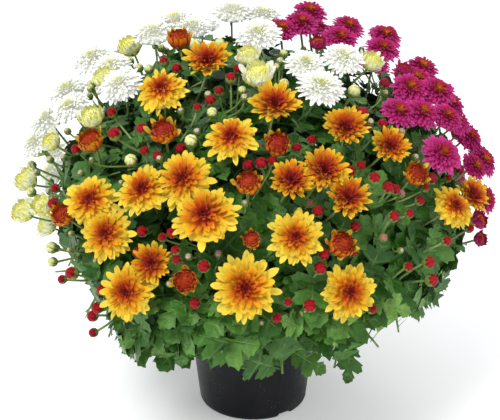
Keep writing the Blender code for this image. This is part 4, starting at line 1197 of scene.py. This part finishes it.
def pot_finish(looks):
    """Pot: matt black recycled plastic with a faint mottle, a dusty film and pale specks."""
    look = Finish("black nursery plastic", 0.5, 0.18)
    where = look.space()
    plastic = look.mottled(looks.pot_black, 60.0, 0.9)
    dust = look.ranged(look.noise(where, 26.0, 6.0, 0.65), 0.45, 0.75, 0.0, 0.55)
    dusty = look.blend(dust, plastic["Colour"], looks.pot_dust)
    specks = look.ranged(look.cells(where, 420.0), 0.16, 0.10)
    some = look.ranged(look.noise(where, 40.0), 0.56, 0.62)
    specked = look.blend(look.times(specks, some), dusty, POT_SPECK)
    look.give({"Roughness": look.line(dust, 0.6, 0.34)})
    height = look.line(look.noise(where, 900.0, 3.0), 0.4, plastic["Height"])
    return look.cover(specked, height, 0.0004, 0.5)


def soil_finish(looks):
    """Soil: dark crumbs with paler bark flecks."""
    look = Finish("moist potting soil", 0.95, 0.2)
    crumbs = look.mottled(looks.soil_brown, 240.0, 1.0)
    bark = look.cells(look.space(), 190.0)
    flecks = look.times(look.ranged(bark, 0.22, 0.14), 0.6)
    flecked = look.blend(flecks, crumbs["Colour"], SOIL_FLECK)
    return look.cover(flecked, look.maths("ADD", bark, crumbs["Height"]), 0.002)


def colour_property(name, description, value):
    """A colour that the panel shows."""
    return FloatVectorProperty(name=name, description=description, default=value, size=4,
                               subtype="COLOR", min=0.0, max=1.0)


def length_property(name, description, value):
    """A length that the panel shows."""
    return FloatProperty(name=name, description=description, default=value, unit="LENGTH")


class LeafySizes(bpy.types.PropertyGroup):
    """How dense the leaves are, and how large."""

    shoots: IntProperty(name="Leafy shoots", description="Short leafy shoots spread over the dome",
                        default=210, min=0, max=600)
    leaves_each: IntProperty(name="Leaves each", description="Leaves round the end of a shoot",
                             default=5, min=1, max=9)
    depth: FloatProperty(name="Depth", description="How far out the shoots end, as a share of the dome",
                         default=0.85, min=0.3, max=0.95, subtype="FACTOR")
    long: length_property("Lowest leaves", "Length of a blade near the soil", 0.057)
    short: length_property("Highest leaves", "Length of a blade near the top", 0.035)


class PotSizes(bpy.types.PropertyGroup):
    """The pot's measures."""

    height: length_property("Height", "From the foot to the rim", 0.110)
    top: length_property("Top radius", "Outside, just below the rim's step", 0.0640)
    base: length_property("Base radius", "Outside, at the foot", 0.0520)
    wall: length_property("Wall", "Thickness of the wall", 0.0016)


class PlantLooks(bpy.types.PropertyGroup):
    """Colours of the plants, the soil and the pot."""

    # The shaded and the outer greens are painted shade and painted light, picked by how deep a leaf lies
    # in the dome
    leaf_painted_shade: colour_property("Shaded leaf", "Leaves deep inside", (0.007, 0.030, 0.005, 1))
    leaf_green: colour_property("Leaf", "Leaves in full growth", (0.030, 0.118, 0.009, 1))
    leaf_painted_light: colour_property("Outer leaf", "Greyer outer leaves", (0.092, 0.215, 0.038, 1))
    leaf_pale: colour_property("Old leaf", "Yellowing lower leaves", (0.240, 0.340, 0.060, 1))
    stem_green: colour_property("Stem", "Green stems", (0.105, 0.200, 0.042, 1))
    stem_painted_light: colour_property("Pale stem", "Sunlit stems", (0.270, 0.370, 0.120, 1))
    stem_wood: colour_property("Woody stem", "Stem feet", (0.110, 0.075, 0.040, 1))
    bract_pale: colour_property("Bracts", "Green under the petals", (0.200, 0.270, 0.060, 1))
    bud_tip: colour_property("Young bud", "Petals that just show", (0.66, 0.52, 0.42, 1))
    pot_black: colour_property("Pot", "Plastic", (0.0050, 0.0050, 0.0075, 1))
    pot_dust: colour_property("Dust", "Film on the pot", (0.016, 0.0155, 0.019, 1))
    soil_brown: colour_property("Soil", "Peat", (0.022, 0.014, 0.009, 1))
    floor: colour_property("Floor", "Floor under the pot", (0.94, 0.94, 0.94, 1))


# Colours of petals from the outer tips in to the eye
PALETTES = {
    "white": ((0.0, (0.92, 0.93, 0.90)), (0.50, (0.91, 0.92, 0.84)), (0.82, (0.88, 0.89, 0.70)),
              (0.92, (0.80, 0.82, 0.38)), (1.0, (0.76, 0.72, 0.18))),
    "yellow": ((0.0, (0.80, 0.63, 0.075)), (0.22, (0.77, 0.55, 0.036)), (0.38, (0.73, 0.41, 0.012)),
               (0.52, (0.68, 0.25, 0.005)), (0.68, (0.58, 0.115, 0.004)), (0.86, (0.47, 0.048, 0.005)),
               (1.0, (0.33, 0.018, 0.012))),
    "magenta": ((0.0, (0.60, 0.058, 0.27)), (0.30, (0.49, 0.022, 0.18)), (0.64, (0.35, 0.008, 0.085)),
                (0.82, (0.42, 0.022, 0.018)), (0.95, (0.52, 0.12, 0.012)), (1.0, (0.56, 0.24, 0.02))),
}
# How loosely the petals of each colour lie, how strongly they glow with painted light that stands in
# for the light they let through, and how much deeper in the palette their roots are
LOOSENESS = {"white": 0.75, "yellow": 1.15, "magenta": 0.75}
PETAL_PAINTED_GLOW = {"white": 0.10, "yellow": 0.03, "magenta": 0.09}
ROOT_DEPTHS = {"white": 0.14, "yellow": 0.42, "magenta": 0.40}
# Depths in the palette, outside and inside: of the heart of an open flower, over its radii there, and
# of the petals of half-open flowers
HEART_DEPTHS = {"white": (0.85, 0.30), "yellow": (1.05, -0.10), "magenta": (0.70, 0.30)}
HEART_REACH = (0.15, 0.72)
OPENING_DEPTHS = {"white": (0.97, 1.06), "yellow": (0.62, 1.00), "magenta": (0.52, 0.92)}
FLARED_DEPTHS = {"white": (0.55, 0.75), "yellow": (0.10, 0.38), "magenta": (0.25, 0.50)}
# Yellow heads below this radius are younger: raised to a cup, deeper in colour, with a smaller heart
HALF_CLOSED = 0.0208
YOUNG_RAISED = 0.40
YOUNG_DEEPER = 0.20
YOUNG_HEART = 0.42
HEAD_RAISED = (0.10, 0.03)
# Folded petals at the top of a bud, in their valleys and on their ridges; the valleys' darker colour is
# partly painted shade in the creases
BUD_COLOURS = {
    "white": ((0.60, 0.62, 0.20, 1), (0.80, 0.80, 0.48, 1)),
    "yellow": ((0.24, 0.003, 0.007, 1), (0.40, 0.014, 0.022, 1)),
    "magenta": ((0.16, 0.003, 0.012, 1), (0.32, 0.010, 0.040, 1)),
}
LEAF_VEIN = (0.20, 0.34, 0.11, 1)
POT_SPECK = (0.16, 0.17, 0.05, 1)
SOIL_FLECK = (0.14, 0.09, 0.05, 1)
# Side veins of a leaf: how far apart, and where the first is, as shares of its length
VEIN_STEP = 8.0 / 25.0
VEIN_START = 5.0 / 25.0


# How deep the hearts' folds are, how loosely the closed and the opened petals of a half-open flower lie,
# and the share of the opened ones that is there
HEART_FOLD = 0.10
OPENING_FOLD = 0.22
OPENING_LOOSE = 0.6
FLARED_LOOSE = 1.6
FLARED_SHARE = 0.55
# What petals() needs of a head
HEAD_KEYS = ("at", "facing", "radius", "spin")


def kind_of(colour, kind):
    """The ends of a plant that are of one kind."""
    return [end for end in plan()["ends"] if end["colour"] == colour and end["kind"] == kind]


def add_hearts(sheets, heads, shrink, profile, fold_depth, depth, rng):
    """Adds the folded body under every head's petals."""
    centre, facing, radius, _ = heads
    tones = rng.random((len(radius), 1, 1))
    grid = turned_cups(centre, facing, radius * shrink, profile, HEART_SIDES, HEART_FOLDS, fold_depth)
    sheets.add(grid, wrap=True, caps=True, ring=0 * tones + depth, tone=tones, bloom=tones)


class PLANT_OT_open_flowers(bpy.types.Operator):
    """Petals of every open flower, a piece for each spray"""

    bl_idname = "plant.open_flowers"
    bl_label = "Open flowers"

    def execute(self, context):
        ends = plan()["ends"]
        for index, end in enumerate(ends):
            end["spin"] = 2 * math.pi * vary(index, 3)
        for colour in COLOURS:
            inward = np.interp(np.array(OPEN_HEART)[:, 1], HEART_REACH, HEART_DEPTHS[colour])
            sprays = sorted({e["spray"] for e in ends if e["colour"] == colour and e["spray"]})
            for number, spray in enumerate(sprays, 1):
                heads = of_all([e for e in ends if e["spray"] == spray], *HEAD_KEYS)
                rng = np.random.default_rng(SEEDS["open"] + spray)
                young = (heads[2] < HALF_CLOSED) * (colour == "yellow")
                raised = HEAD_RAISED[0] * rng.random(len(young)) - HEAD_RAISED[1] + YOUNG_RAISED * young
                grid, values = petals(heads, PETAL_RINGS[colour], open_curves, PETAL_SHAPES[colour], rng,
                                      loose=LOOSENESS[colour], raised=raised, deeper=YOUNG_DEEPER * young)
                sheets = Sheets("ring", "tone", "bloom")
                sheets.add(grid, **values)
                add_hearts(sheets, heads, 1 - YOUNG_HEART * young, OPEN_HEART, HEART_FOLD,
                           inward[:, None], rng)
                sheets.piece(f"petals_{colour}_{number:02d}", petal_finish(colour), "petals_" + colour,
                             f"flowers_{colour}_{number:02d}")
        return {"FINISHED"}


class PLANT_OT_half_open(bpy.types.Operator):
    """Half-open flowers, a piece for each plant"""

    bl_idname = "plant.half_open"
    bl_label = "Half-open flowers"

    def execute(self, context):
        for colour in COLOURS:
            heads = of_all(kind_of(colour, "opening"), *HEAD_KEYS)
            rng = np.random.default_rng(SEEDS["half open"])
            sheets = Sheets("ring", "tone", "bloom")
            depth = OPENING_DEPTHS[colour]
            grid, values = petals(heads, OPENING_RINGS, cup_curves, CUP_SHAPE, rng, depth, OPENING_LOOSE)
            sheets.add(grid, **values)
            grid, values = petals(heads, FLARED_RINGS, flared_curves, PETAL_SHAPES[colour], rng,
                                  FLARED_DEPTHS[colour], FLARED_LOOSE)
            kept = rng.random(len(grid)) < FLARED_SHARE
            sheets.add(grid[kept], **{name: value[kept] for name, value in values.items()})
            add_hearts(sheets, heads, 1, OPENING_HEART, OPENING_FOLD, depth[1], rng)
            sheets.piece("half_open_" + colour, petal_finish(colour), "petals_" + colour,
                         "plant_" + colour)
        return {"FINISHED"}


# Large buds: the least and the range of their size, as shares, and of how coloured they are; and how
# many sides a bud has, and how deep its folds are
BUD_GROWN = (0.70, 0.36)
BUD_RIPE = (0.6, 0.4)
BUD_SIDES = 18
BUD_FOLD = 0.09


class PLANT_OT_buds(bpy.types.Operator):
    """Closed buds, a piece for each plant"""

    bl_idname = "plant.buds"
    bl_label = "Buds"

    def execute(self, context):
        ends = plan()["ends"]
        PLAN["side_buds"] = side_buds(ends, np.random.default_rng(SEEDS["buds"]))
        for colour in COLOURS:
            members = [(i, e) for i, e in enumerate(ends)
                       if e["colour"] == colour and e["kind"] == "bud"]
            at, small, share, colours = PLAN["side_buds"]
            mine = colours == colour
            seats = np.concatenate(([seat_of(e, 0.0) for _, e in members], at[mine]))
            facing = np.concatenate(([e["facing"] for _, e in members],
                                     unit(dome_normal(at[mine]) + LEAN)))
            grown = BUD_RADIUS * np.array([BUD_GROWN[0] + BUD_GROWN[1] * vary(i, 35) for i, _ in members])
            radius = np.concatenate((grown, small[mine]))
            ripe = BUD_RIPE[0] + BUD_RIPE[1] * np.array([vary(i, 31) for i, _ in members])
            ripe = np.concatenate((ripe, share[mine]))
            tone = np.array([vary(i, 33) for i in range(len(ripe))])
            sheets = Sheets("ripe", "tone")
            grid = turned_cups(seats, facing, radius, BUD_PROFILE, BUD_SIDES, BUD_FOLDS, BUD_FOLD)
            sheets.add(grid, wrap=True, caps=True, ripe=ripe[:, None, None], tone=tone[:, None, None])
            sheets.piece("buds_" + colour, bud_finish(colour, context.scene.plant_looks), "foliage",
                         "plant_" + colour)
        return {"FINISHED"}


# The green cup under an open flower, in metres, and under a half-open one, in its radii
CALYX = ((-0.0050, 0.0010), (-0.0030, 0.0012), (-0.0016, 0.0022), (-0.0006, 0.0036), (0.0006, 0.0047),
         (0.0022, 0.0054), (0.0036, 0.0056), (0.0038, 0.0020))
OPENING_CALYX = ((-0.10, 0.09), (0.0, 0.14), (0.07, 0.32), (0.17, 0.50), (0.30, 0.62), (0.44, 0.68),
                 (0.56, 0.68), (0.58, 0.30))


# A stem foot: heights, radii as shares of the crown's, and how woody it is there
CROWN_HEIGHTS = (CROWN_FOOT, 0.09, 0.105, CROWN_TOP - 0.004, CROWN_TOP)
CROWN_SHARES = (1, 1.06, 1, 0.8, 0.35)
CROWN_WOOD = (1, 1, 0.9, 0.7, 0.6)
# Branches, flower stalks, leafy shoots and the stalks of small buds: first and last radius, and how many
# sides and rings they have
BRANCH_TUBE = (0.0027, 0.0016, 8, 13)
STALK_TUBE = (0.0013, 0.0010, 6, 9)
SHOOT_TUBE = (0.0014, 0.0009, 5, 6)
BUD_STALK_TUBE = (0.0010, 0.0008, 5, 7)
CROWN_SIDES = 14
# The green cup: heads between these radii have it in these sizes; and its sides, folds and their depth
CALYX_HEADS = (0.015, 0.025)
CALYX_SIZES = (0.85, 1.1)
CALYX_ROUND = (16, 8, 0.10)
# How far from its fork on a flower stalk a small bud stands, nearly, and where the forks may be
BUD_STALK = 0.040
BUD_FORKS = (0.35, 0.5, 0.65)
SHOOT_BOW = 0.006


def steps_of(tube):
    """The shares along a tube at which it has its rings."""
    return np.linspace(0, 1, tube[3])


def tapered(sheets, paths, tube, **values):
    """Adds tubes along paths that have a point for each ring."""
    first, last, sides, rings = tube
    radii = np.broadcast_to(np.linspace(first, last, rings), paths.shape[:2])
    sheets.add(tubes(paths, radii, sides), True, True, **values)


class PLANT_OT_stems(bpy.types.Operator):
    """Stem feet, branches, flower stalks and the green cups under the flowers, a piece for each plant"""

    bl_idname = "plant.stems"
    bl_label = "Stems"

    def execute(self, context):
        finish = stem_finish(context.scene.plant_looks)
        starts, tips, owners = leafy_shoots(context.scene.plant_leaves)
        for colour in COLOURS:
            sheets = Sheets("tone", "wood")
            rng = np.random.default_rng(SEEDS["stems"])
            x, y = CROWNS[colour]
            crown = np.array([[(x, y, height) for height in CROWN_HEIGHTS]])
            sheets.add(tubes(crown, CROWN_RADIUS * np.array([CROWN_SHARES]), CROWN_SIDES), True, True,
                       tone=0.2, wood=np.array(CROWN_WOOD)[None, :, None])
            t = steps_of(BRANCH_TUBE)[:, None]
            curves = [bezier(*branch_curve(colour, b), t) for b in range(len(BRANCHES[colour]))]
            tapered(sheets, np.array(curves), BRANCH_TUBE, tone=0.3,
                    wood=np.linspace(CROWN_WOOD[3], 0.0, len(t))[None, :, None])
            t = steps_of(STALK_TUBE)[:, None]
            paths = []
            for stalk in plan()[colour]["stalks"]:
                start, _, _, seat = stalk["controls"]
                straight = start + (stalk["neck"] - start) * t
                bowed = bezier(*stalk["controls"], t)
                paths.append(0.5 * straight + 0.5 * bowed + 0.5 * t**3 * (seat - stalk["neck"]))
            tapered(sheets, np.array(paths), STALK_TUBE,
                    tone=0.2 + 0.8 * rng.random((len(paths), 1, 1)))
            mine = owners == colour
            start, tip = starts[mine][:, None], tips[mine][:, None]
            steps = steps_of(SHOOT_TUBE)[None, :, None]
            paths = start + (tip - start) * steps + np.array([0, 0, SHOOT_BOW]) * np.sin(math.pi * steps)
            tapered(sheets, paths, SHOOT_TUBE, tone=0.4)
            self.bud_stalks(sheets, colour)
            for kind, profile, tone in (("flower", CALYX, 0.5), ("opening", OPENING_CALYX, 0.6)):
                heads = kind_of(colour, kind)
                seats = np.array([seat_of(e, 0.0) for e in heads])
                facing, size = of_all(heads, "facing", "radius")
                if kind == "flower":
                    size = np.interp(size, CALYX_HEADS, CALYX_SIZES)
                sheets.add(turned_cups(seats, facing, size, profile, *CALYX_ROUND), True, True, tone=tone)
            sheets.piece("stems_" + colour, finish, "foliage", "plant_" + colour)
        return {"FINISHED"}

    def bud_stalks(self, sheets, colour):
        """Thin stalks of the side buds, each out of the nearest flower stalk below it."""
        at, _, _, colours = PLAN["side_buds"]
        forks = np.array([bezier(*stalk["controls"], t) for stalk in plan()[colour]["stalks"]
                          for t in BUD_FORKS])
        seats = at[colours == colour]
        distance = np.linalg.norm(seats[:, None] - forks, axis=2)
        starts = forks[np.abs(distance - BUD_STALK).argmin(axis=1)]
        facing = unit(dome_normal(seats) + LEAN)
        length = np.linalg.norm(seats - starts, axis=1)[:, None]
        t = steps_of(BUD_STALK_TUBE)[:, None, None]
        paths = bezier(starts, starts + 0.3 * (seats - starts) + np.array([0, 0, 0.003]),
                       seats - 0.35 * length * facing, seats, t)
        tapered(sheets, paths.transpose(1, 0, 2), BUD_STALK_TUBE, tone=0.6)


# Tone of a leaf: where along it the depth in the dome is taken, from which depth and how steeply it gets
# paler and up to what, as painted shade deep inside and painted light further out; below which height and
# over what range the lowest yellow and how much, and how much all of them vary; and the least and the
# range of how much the leaves of shoots droop
TONE_SPOT = 0.8
TONE_PAINTED_SHADE = (0.60, 1.4, 0.52)
TONE_LOW = (0.17, 0.07, 0.24)
TONE_VARIES = 0.50
DROOPING = (0.5, 1.2)


class PLANT_OT_leaves(bpy.types.Operator):
    """Lobed leaves, a piece for each plant"""

    bl_idname = "plant.leaves"
    bl_label = "Leaves"

    def execute(self, context):
        finish = leaf_finish(context.scene.plant_looks)
        *placed, colours = place_leaves(context.scene.plant_leaves)
        for colour in COLOURS:
            sheets = Sheets("tone")
            rng = np.random.default_rng(SEEDS["leaves"])
            root, way, face, size = columns(plan()[colour]["leaves"])
            tip = root + (1 - LEAF_CORNERS[0][0]) * size[:, None] * way
            size = np.where(within_outline(tip, LEAF_INSIDE), LEAF_SHRINK, LEAF_SHORTENED) * size
            self.add_blades(sheets, root, way, face, size, np.ones(len(size)), rng)
            root, way, face, size = (part[colours == colour] for part in placed)
            bend = DROOPING[0] + DROOPING[1] * rng.random(len(size))
            self.add_blades(sheets, root, way, face, size, bend, rng)
            sheets.piece("leaves_" + colour, finish, "foliage", "plant_" + colour)
        return {"FINISHED"}

    def add_blades(self, sheets, root, way, face, size, bend, rng):
        """Adds leaves, darker inside the dome as painted shade and paler further out as painted light,
        and some of the lowest yellowing.
        """
        deep, steep, palest = TONE_PAINTED_SHADE
        height, span, yellowing = TONE_LOW
        level = dome_level(root + way * size[:, None] * TONE_SPOT)
        low = np.clip((height - root[:, 2]) / span, 0, 1)
        # Painted shade: the deeper a leaf lies in the dome, the darker its tone; further out, paler and
        # greyer
        tone = np.clip((level - deep) * steep, 0, palest) + yellowing * low * rng.random(len(size))
        tone = tone + TONE_VARIES * (rng.random(len(size)) - 0.5)
        sheets.add(blades(root, way, face, size, bend, rng), tone=tone[:, None, None])


def turned_wall(profile, angles):
    """A wall turned round the pot's axis from (radius, height) rows, as one grid."""
    rows = np.array(profile)
    a = np.asarray(angles)[None, :]
    r, z = rows[:, 0:1], rows[:, 1:2]
    return np.stack((r * np.cos(a), r * np.sin(a), z + 0 * a), -1)[None]


def with_heights(grid, heights):
    """The grid with other heights."""
    return np.concatenate((grid[..., :2], heights[..., None]), -1)


# Drainage notches in the pot's foot: bearings, half width, height, how far in they reach, and how
# much of a turn their edges take; and how many rows of the wall are its foot
NOTCHES = (-54, 126)
NOTCH_HALF = 0.0075
NOTCH_HEIGHT = 0.004
NOTCH_REACH = 0.0455
NOTCH_EDGE = 0.012
FOOT_ROWS = 9
# The pot's wall from the middle of its underside up, over the rim and down to the middle of its floor,
# part by part: rows of (radius, height) to add to where the part starts, or heights on the wall
POT_UNDER = ((0.0001, 0), (0.018, 0), (0.036, 0), (0.046, 0))
POT_FOOT = ((-0.0028, 0), (-0.0014, 0.0004), (-0.0004, 0.0013))
POT_OUTSIDE = (0.003, 0.0045, 0.02, 0.05, 0.08)
POT_STEP = ((-0.0001, -0.0006), (0.0003, 0), (0.0022, 0.0010), (0.0026, 0.0016))
POT_RIM = ((-0.0003, -0.0012), (-0.0008, -0.0003), (-0.0014, 0))
POT_LIP = ((0.0004, 0), (0, -0.0004))
POT_INSIDE = (0.05, 0.0065)
POT_CORNER = ((-0.002, 0.0035), (-0.004, 0.0025))
POT_FLOOR = (0.0001, 0.0025)
RIM_HEIGHT = 0.010
RIM_OUT = 0.0026
POT_SIDES = 120
SHARP_FROM = 38


class PLANT_OT_pot(bpy.types.Operator):
    """The pot: a tapered wall with a stepped rim, a rounded foot and two drainage notches"""

    bl_idname = "plant.pot"
    bl_label = "Pot"

    def execute(self, context):
        pot = context.scene.plant_pot
        slope = (pot.top - pot.base) / pot.height

        def outside(z):
            return pot.base + slope * z

        def moved(rows, radius, height):
            return [(radius + out, height + up) for out, up in rows]

        top, step = outside(pot.height), pot.height - RIM_HEIGHT
        profile = (
            *POT_UNDER, *moved(POT_FOOT, pot.base, 0), *((outside(z), z) for z in POT_OUTSIDE),
            *moved(POT_STEP, outside(step), step), *moved(POT_RIM, top + RIM_OUT, pot.height),
            *moved(POT_LIP, top - pot.wall, pot.height),
            *((outside(z) - pot.wall, z) for z in POT_INSIDE),
            *moved(POT_CORNER, pot.base - pot.wall, 0), POT_FLOOR,
        )
        plain = np.linspace(0, 2 * math.pi, POT_SIDES, endpoint=False)
        edges = [math.radians(b) + s * NOTCH_HALF / pot.base + e for b in NOTCHES for s in (-1, 1)
                 for e in (-NOTCH_EDGE, NOTCH_EDGE)]
        angles = np.unique(np.concatenate((plain, np.mod(edges, 2 * math.pi))))
        grid = turned_wall(profile, angles)
        foot = np.arange(len(profile))[None, :, None] < FOOT_ROWS
        foot = foot & (np.hypot(grid[..., 0], grid[..., 1]) > NOTCH_REACH)
        for azimuth in NOTCHES:
            turn = (angles - math.radians(azimuth) + math.pi) % (2 * math.pi) - math.pi
            inside = (np.abs(turn) < NOTCH_HALF / pot.base)[None, None, :]
            lifted = np.maximum(grid[..., 2], NOTCH_HEIGHT)
            grid = with_heights(grid, np.where(inside & foot, lifted, grid[..., 2]))
        sheets = Sheets()
        sheets.add(grid, wrap=True, caps=True)
        made = sheets.piece("nursery_pot", pot_finish(context.scene.plant_looks), "pot", "pot")
        made.data.set_sharp_from_angle(angle=math.radians(SHARP_FROM))
        return {"FINISHED"}


# Lumps of the soil's top: waves per metre times a full turn, and their way, the largest first
SOIL_LUMPS = ((520, 0.4), (610, 1.9), (760, 2.7), (1130, 4.1), (1370, 5.2))
SOIL_LUMP = 0.0012
SOIL_EDGE = 0.093
SOIL_TOP = 0.097
SOIL_MOUND = 0.004
# The air between it and the pot's wall, its underside, how far in and up its lower edge is cut off, the
# radii of its top's first two rings, the heights at which the wall is as wide as the top and as its
# lumps, and how many rings and sides it has
SOIL_AIR = 0.0008
SOIL_UNDER = 0.0030
SOIL_CUT = (0.006, 0.008)
SOIL_MIDDLE = (0.0002, 0.002)
SOIL_WIDE = 0.096
SOIL_LUMPY = 0.09
SOIL_RINGS = 26
SOIL_SIDES = 96


class PLANT_OT_soil(bpy.types.Operator):
    """The soil: a lumpy top just under the rim"""

    bl_idname = "plant.soil"
    bl_label = "Soil"

    def execute(self, context):
        pot = context.scene.plant_pot
        slope = (pot.top - pot.base) / pot.height
        inner = pot.base - pot.wall - SOIL_AIR
        middle, second = SOIL_MIDDLE
        radii = np.concatenate(([middle], np.linspace(second, inner + slope * SOIL_WIDE, SOIL_RINGS)))
        rows = [(middle, SOIL_UNDER), (inner - SOIL_CUT[0], SOIL_UNDER), (inner, SOIL_CUT[1]),
                (inner + slope * SOIL_EDGE, SOIL_EDGE)]
        top = [(r, SOIL_TOP + SOIL_MOUND * (1 - (r / inner) ** 2)) for r in radii[::-1]]
        grid = turned_wall(rows + top, np.linspace(0, 2 * math.pi, SOIL_SIDES, endpoint=False))
        x, y = grid[..., 0], grid[..., 1]
        lumps = sum(np.sin(x * f * np.cos(k) + y * f * np.sin(k) + 3 * k) / n
                    for n, (f, k) in enumerate(SOIL_LUMPS, 1))
        raised = (np.arange(len(rows) + len(top)) >= len(rows))[None, :, None]
        raised = raised & (np.hypot(x, y) < inner + slope * SOIL_LUMPY)
        sheets = Sheets()
        sheets.add(with_heights(grid, grid[..., 2] + np.where(raised, SOIL_LUMP * lumps, 0)), wrap=True,
                   caps=True)
        sheets.piece("potting_soil", soil_finish(context.scene.plant_looks), "soil", "soil")
        return {"FINISHED"}


# The stage: the sky's light, the floor's own glow and half side, the soft lights by name, place, size
# and power, and the point over the pot that they look at
SKY_LIGHT = 0.72
SKY_COLOUR = (0.95, 0.97, 1.0, 1)
FLOOR_GLOW = 0.24
FLOOR_SIDE = 6.0
LIGHTS = (("key", (-0.7, -1.2, 1.9), 0.8, 32), ("fill", (1.6, -1.0, 1.1), 1.4, 9),
          ("back", (0.3, 1.7, 1.6), 1.0, 10))
AIM = np.array([0, 0, 0.2])
SENSOR_WIDTH = 36.0


class PLANT_OT_stage(bpy.types.Operator):
    """Pale floor, soft lights and the camera"""

    bl_idname = "plant.stage"
    bl_label = "Stage"

    def execute(self, context):
        scene = context.scene
        side = FLOOR_SIDE
        mesh = bpy.data.meshes.new("floor")
        mesh.from_pydata([(-side, -side, 0), (side, -side, 0), (side, side, 0), (-side, side, 0)], [],
                         [(0, 1, 2, 3)])
        look = Finish("pale floor", 0.9, 0.1)
        pale = look.mottled(scene.plant_looks.floor, 3.0, 0.02)["Colour"]
        look.give({"Base Color": pale, "Emission Color": (1, 1, 1, 1), "Emission Strength": FLOOR_GLOW})
        mesh.materials.append(look.made)
        floor = self.placed("floor", mesh, (0, 0, 0), (0, 0, 0))
        world = bpy.data.worlds.new("soft sky")
        world.use_nodes = True
        shader = Shader(world.node_tree)
        seen = shader.node("LightPath")["Is Camera Ray"]
        sky = world.node_tree.nodes["Background"].inputs
        shader.link(SKY_COLOUR, sky[0])
        shader.link(shader.line(seen, 1.0 - SKY_LIGHT, SKY_LIGHT), sky[1])
        scene.world = world
        for name, place, size, power in LIGHTS:
            light = bpy.data.lights.new(name, "AREA")
            light.size, light.energy = size, power
            aim = AIM - np.array(place)
            self.placed(name, light, place, (math.atan2(np.hypot(aim[0], aim[1]), -aim[2]), 0,
                                             math.atan2(aim[1], aim[0]) - math.pi / 2))
        camera = bpy.data.cameras.new("camera")
        camera.sensor_width = SENSOR_WIDTH
        camera.lens = SENSOR_WIDTH * FOCAL_PIXELS / FRAME_WIDTH
        scene.camera = self.placed("camera", camera, EYE, (math.pi / 2 - EYE_PITCH, 0, 0))
        scene.view_settings.view_transform = "Standard"
        return {"FINISHED"}

    def placed(self, name, data, place, turned):
        """An object of the stage at its place, with its turns."""
        made = bpy.data.objects.new(name, data)
        made.location, made.rotation_euler = place, turned
        bpy.context.scene.collection.objects.link(made)
        return made


class PLANT_PT_builder(bpy.types.Panel):
    """Sizes, colours and the steps that build the plant"""

    bl_label = "Pot chrysanthemum"
    bl_space_type = "VIEW_3D"
    bl_region_type = "UI"
    bl_category = "Plant"

    def draw(self, context):
        scene = context.scene
        for sizes in (scene.plant_leaves, scene.plant_pot, scene.plant_looks):
            for name in sizes.__annotations__:
                self.layout.prop(sizes, name)
        for step in STEPS:
            self.layout.operator(step.bl_idname)


STEPS = (PLANT_OT_open_flowers, PLANT_OT_half_open, PLANT_OT_buds, PLANT_OT_stems, PLANT_OT_leaves,
         PLANT_OT_pot, PLANT_OT_soil, PLANT_OT_stage)
CLASSES = (LeafySizes, PotSizes, PlantLooks, *STEPS, PLANT_PT_builder)


def register():
    """Adds the add-on's classes, and its sizes and colours to the scene."""
    for made in CLASSES:
        bpy.utils.register_class(made)
    bpy.types.Scene.plant_leaves = PointerProperty(type=LeafySizes)
    bpy.types.Scene.plant_pot = PointerProperty(type=PotSizes)
    bpy.types.Scene.plant_looks = PointerProperty(type=PlantLooks)


def unregister():
    """Takes them out again."""
    for name in ("plant_leaves", "plant_pot", "plant_looks"):
        delattr(bpy.types.Scene, name)
    for made in reversed(CLASSES):
        bpy.utils.unregister_class(made)


def main():
    """Builds every piece in its turn."""
    register()
    for step in STEPS:
        _, name = step.bl_idname.split(".")
        getattr(bpy.ops.plant, name)()


if __name__ == "__main__":
    main()
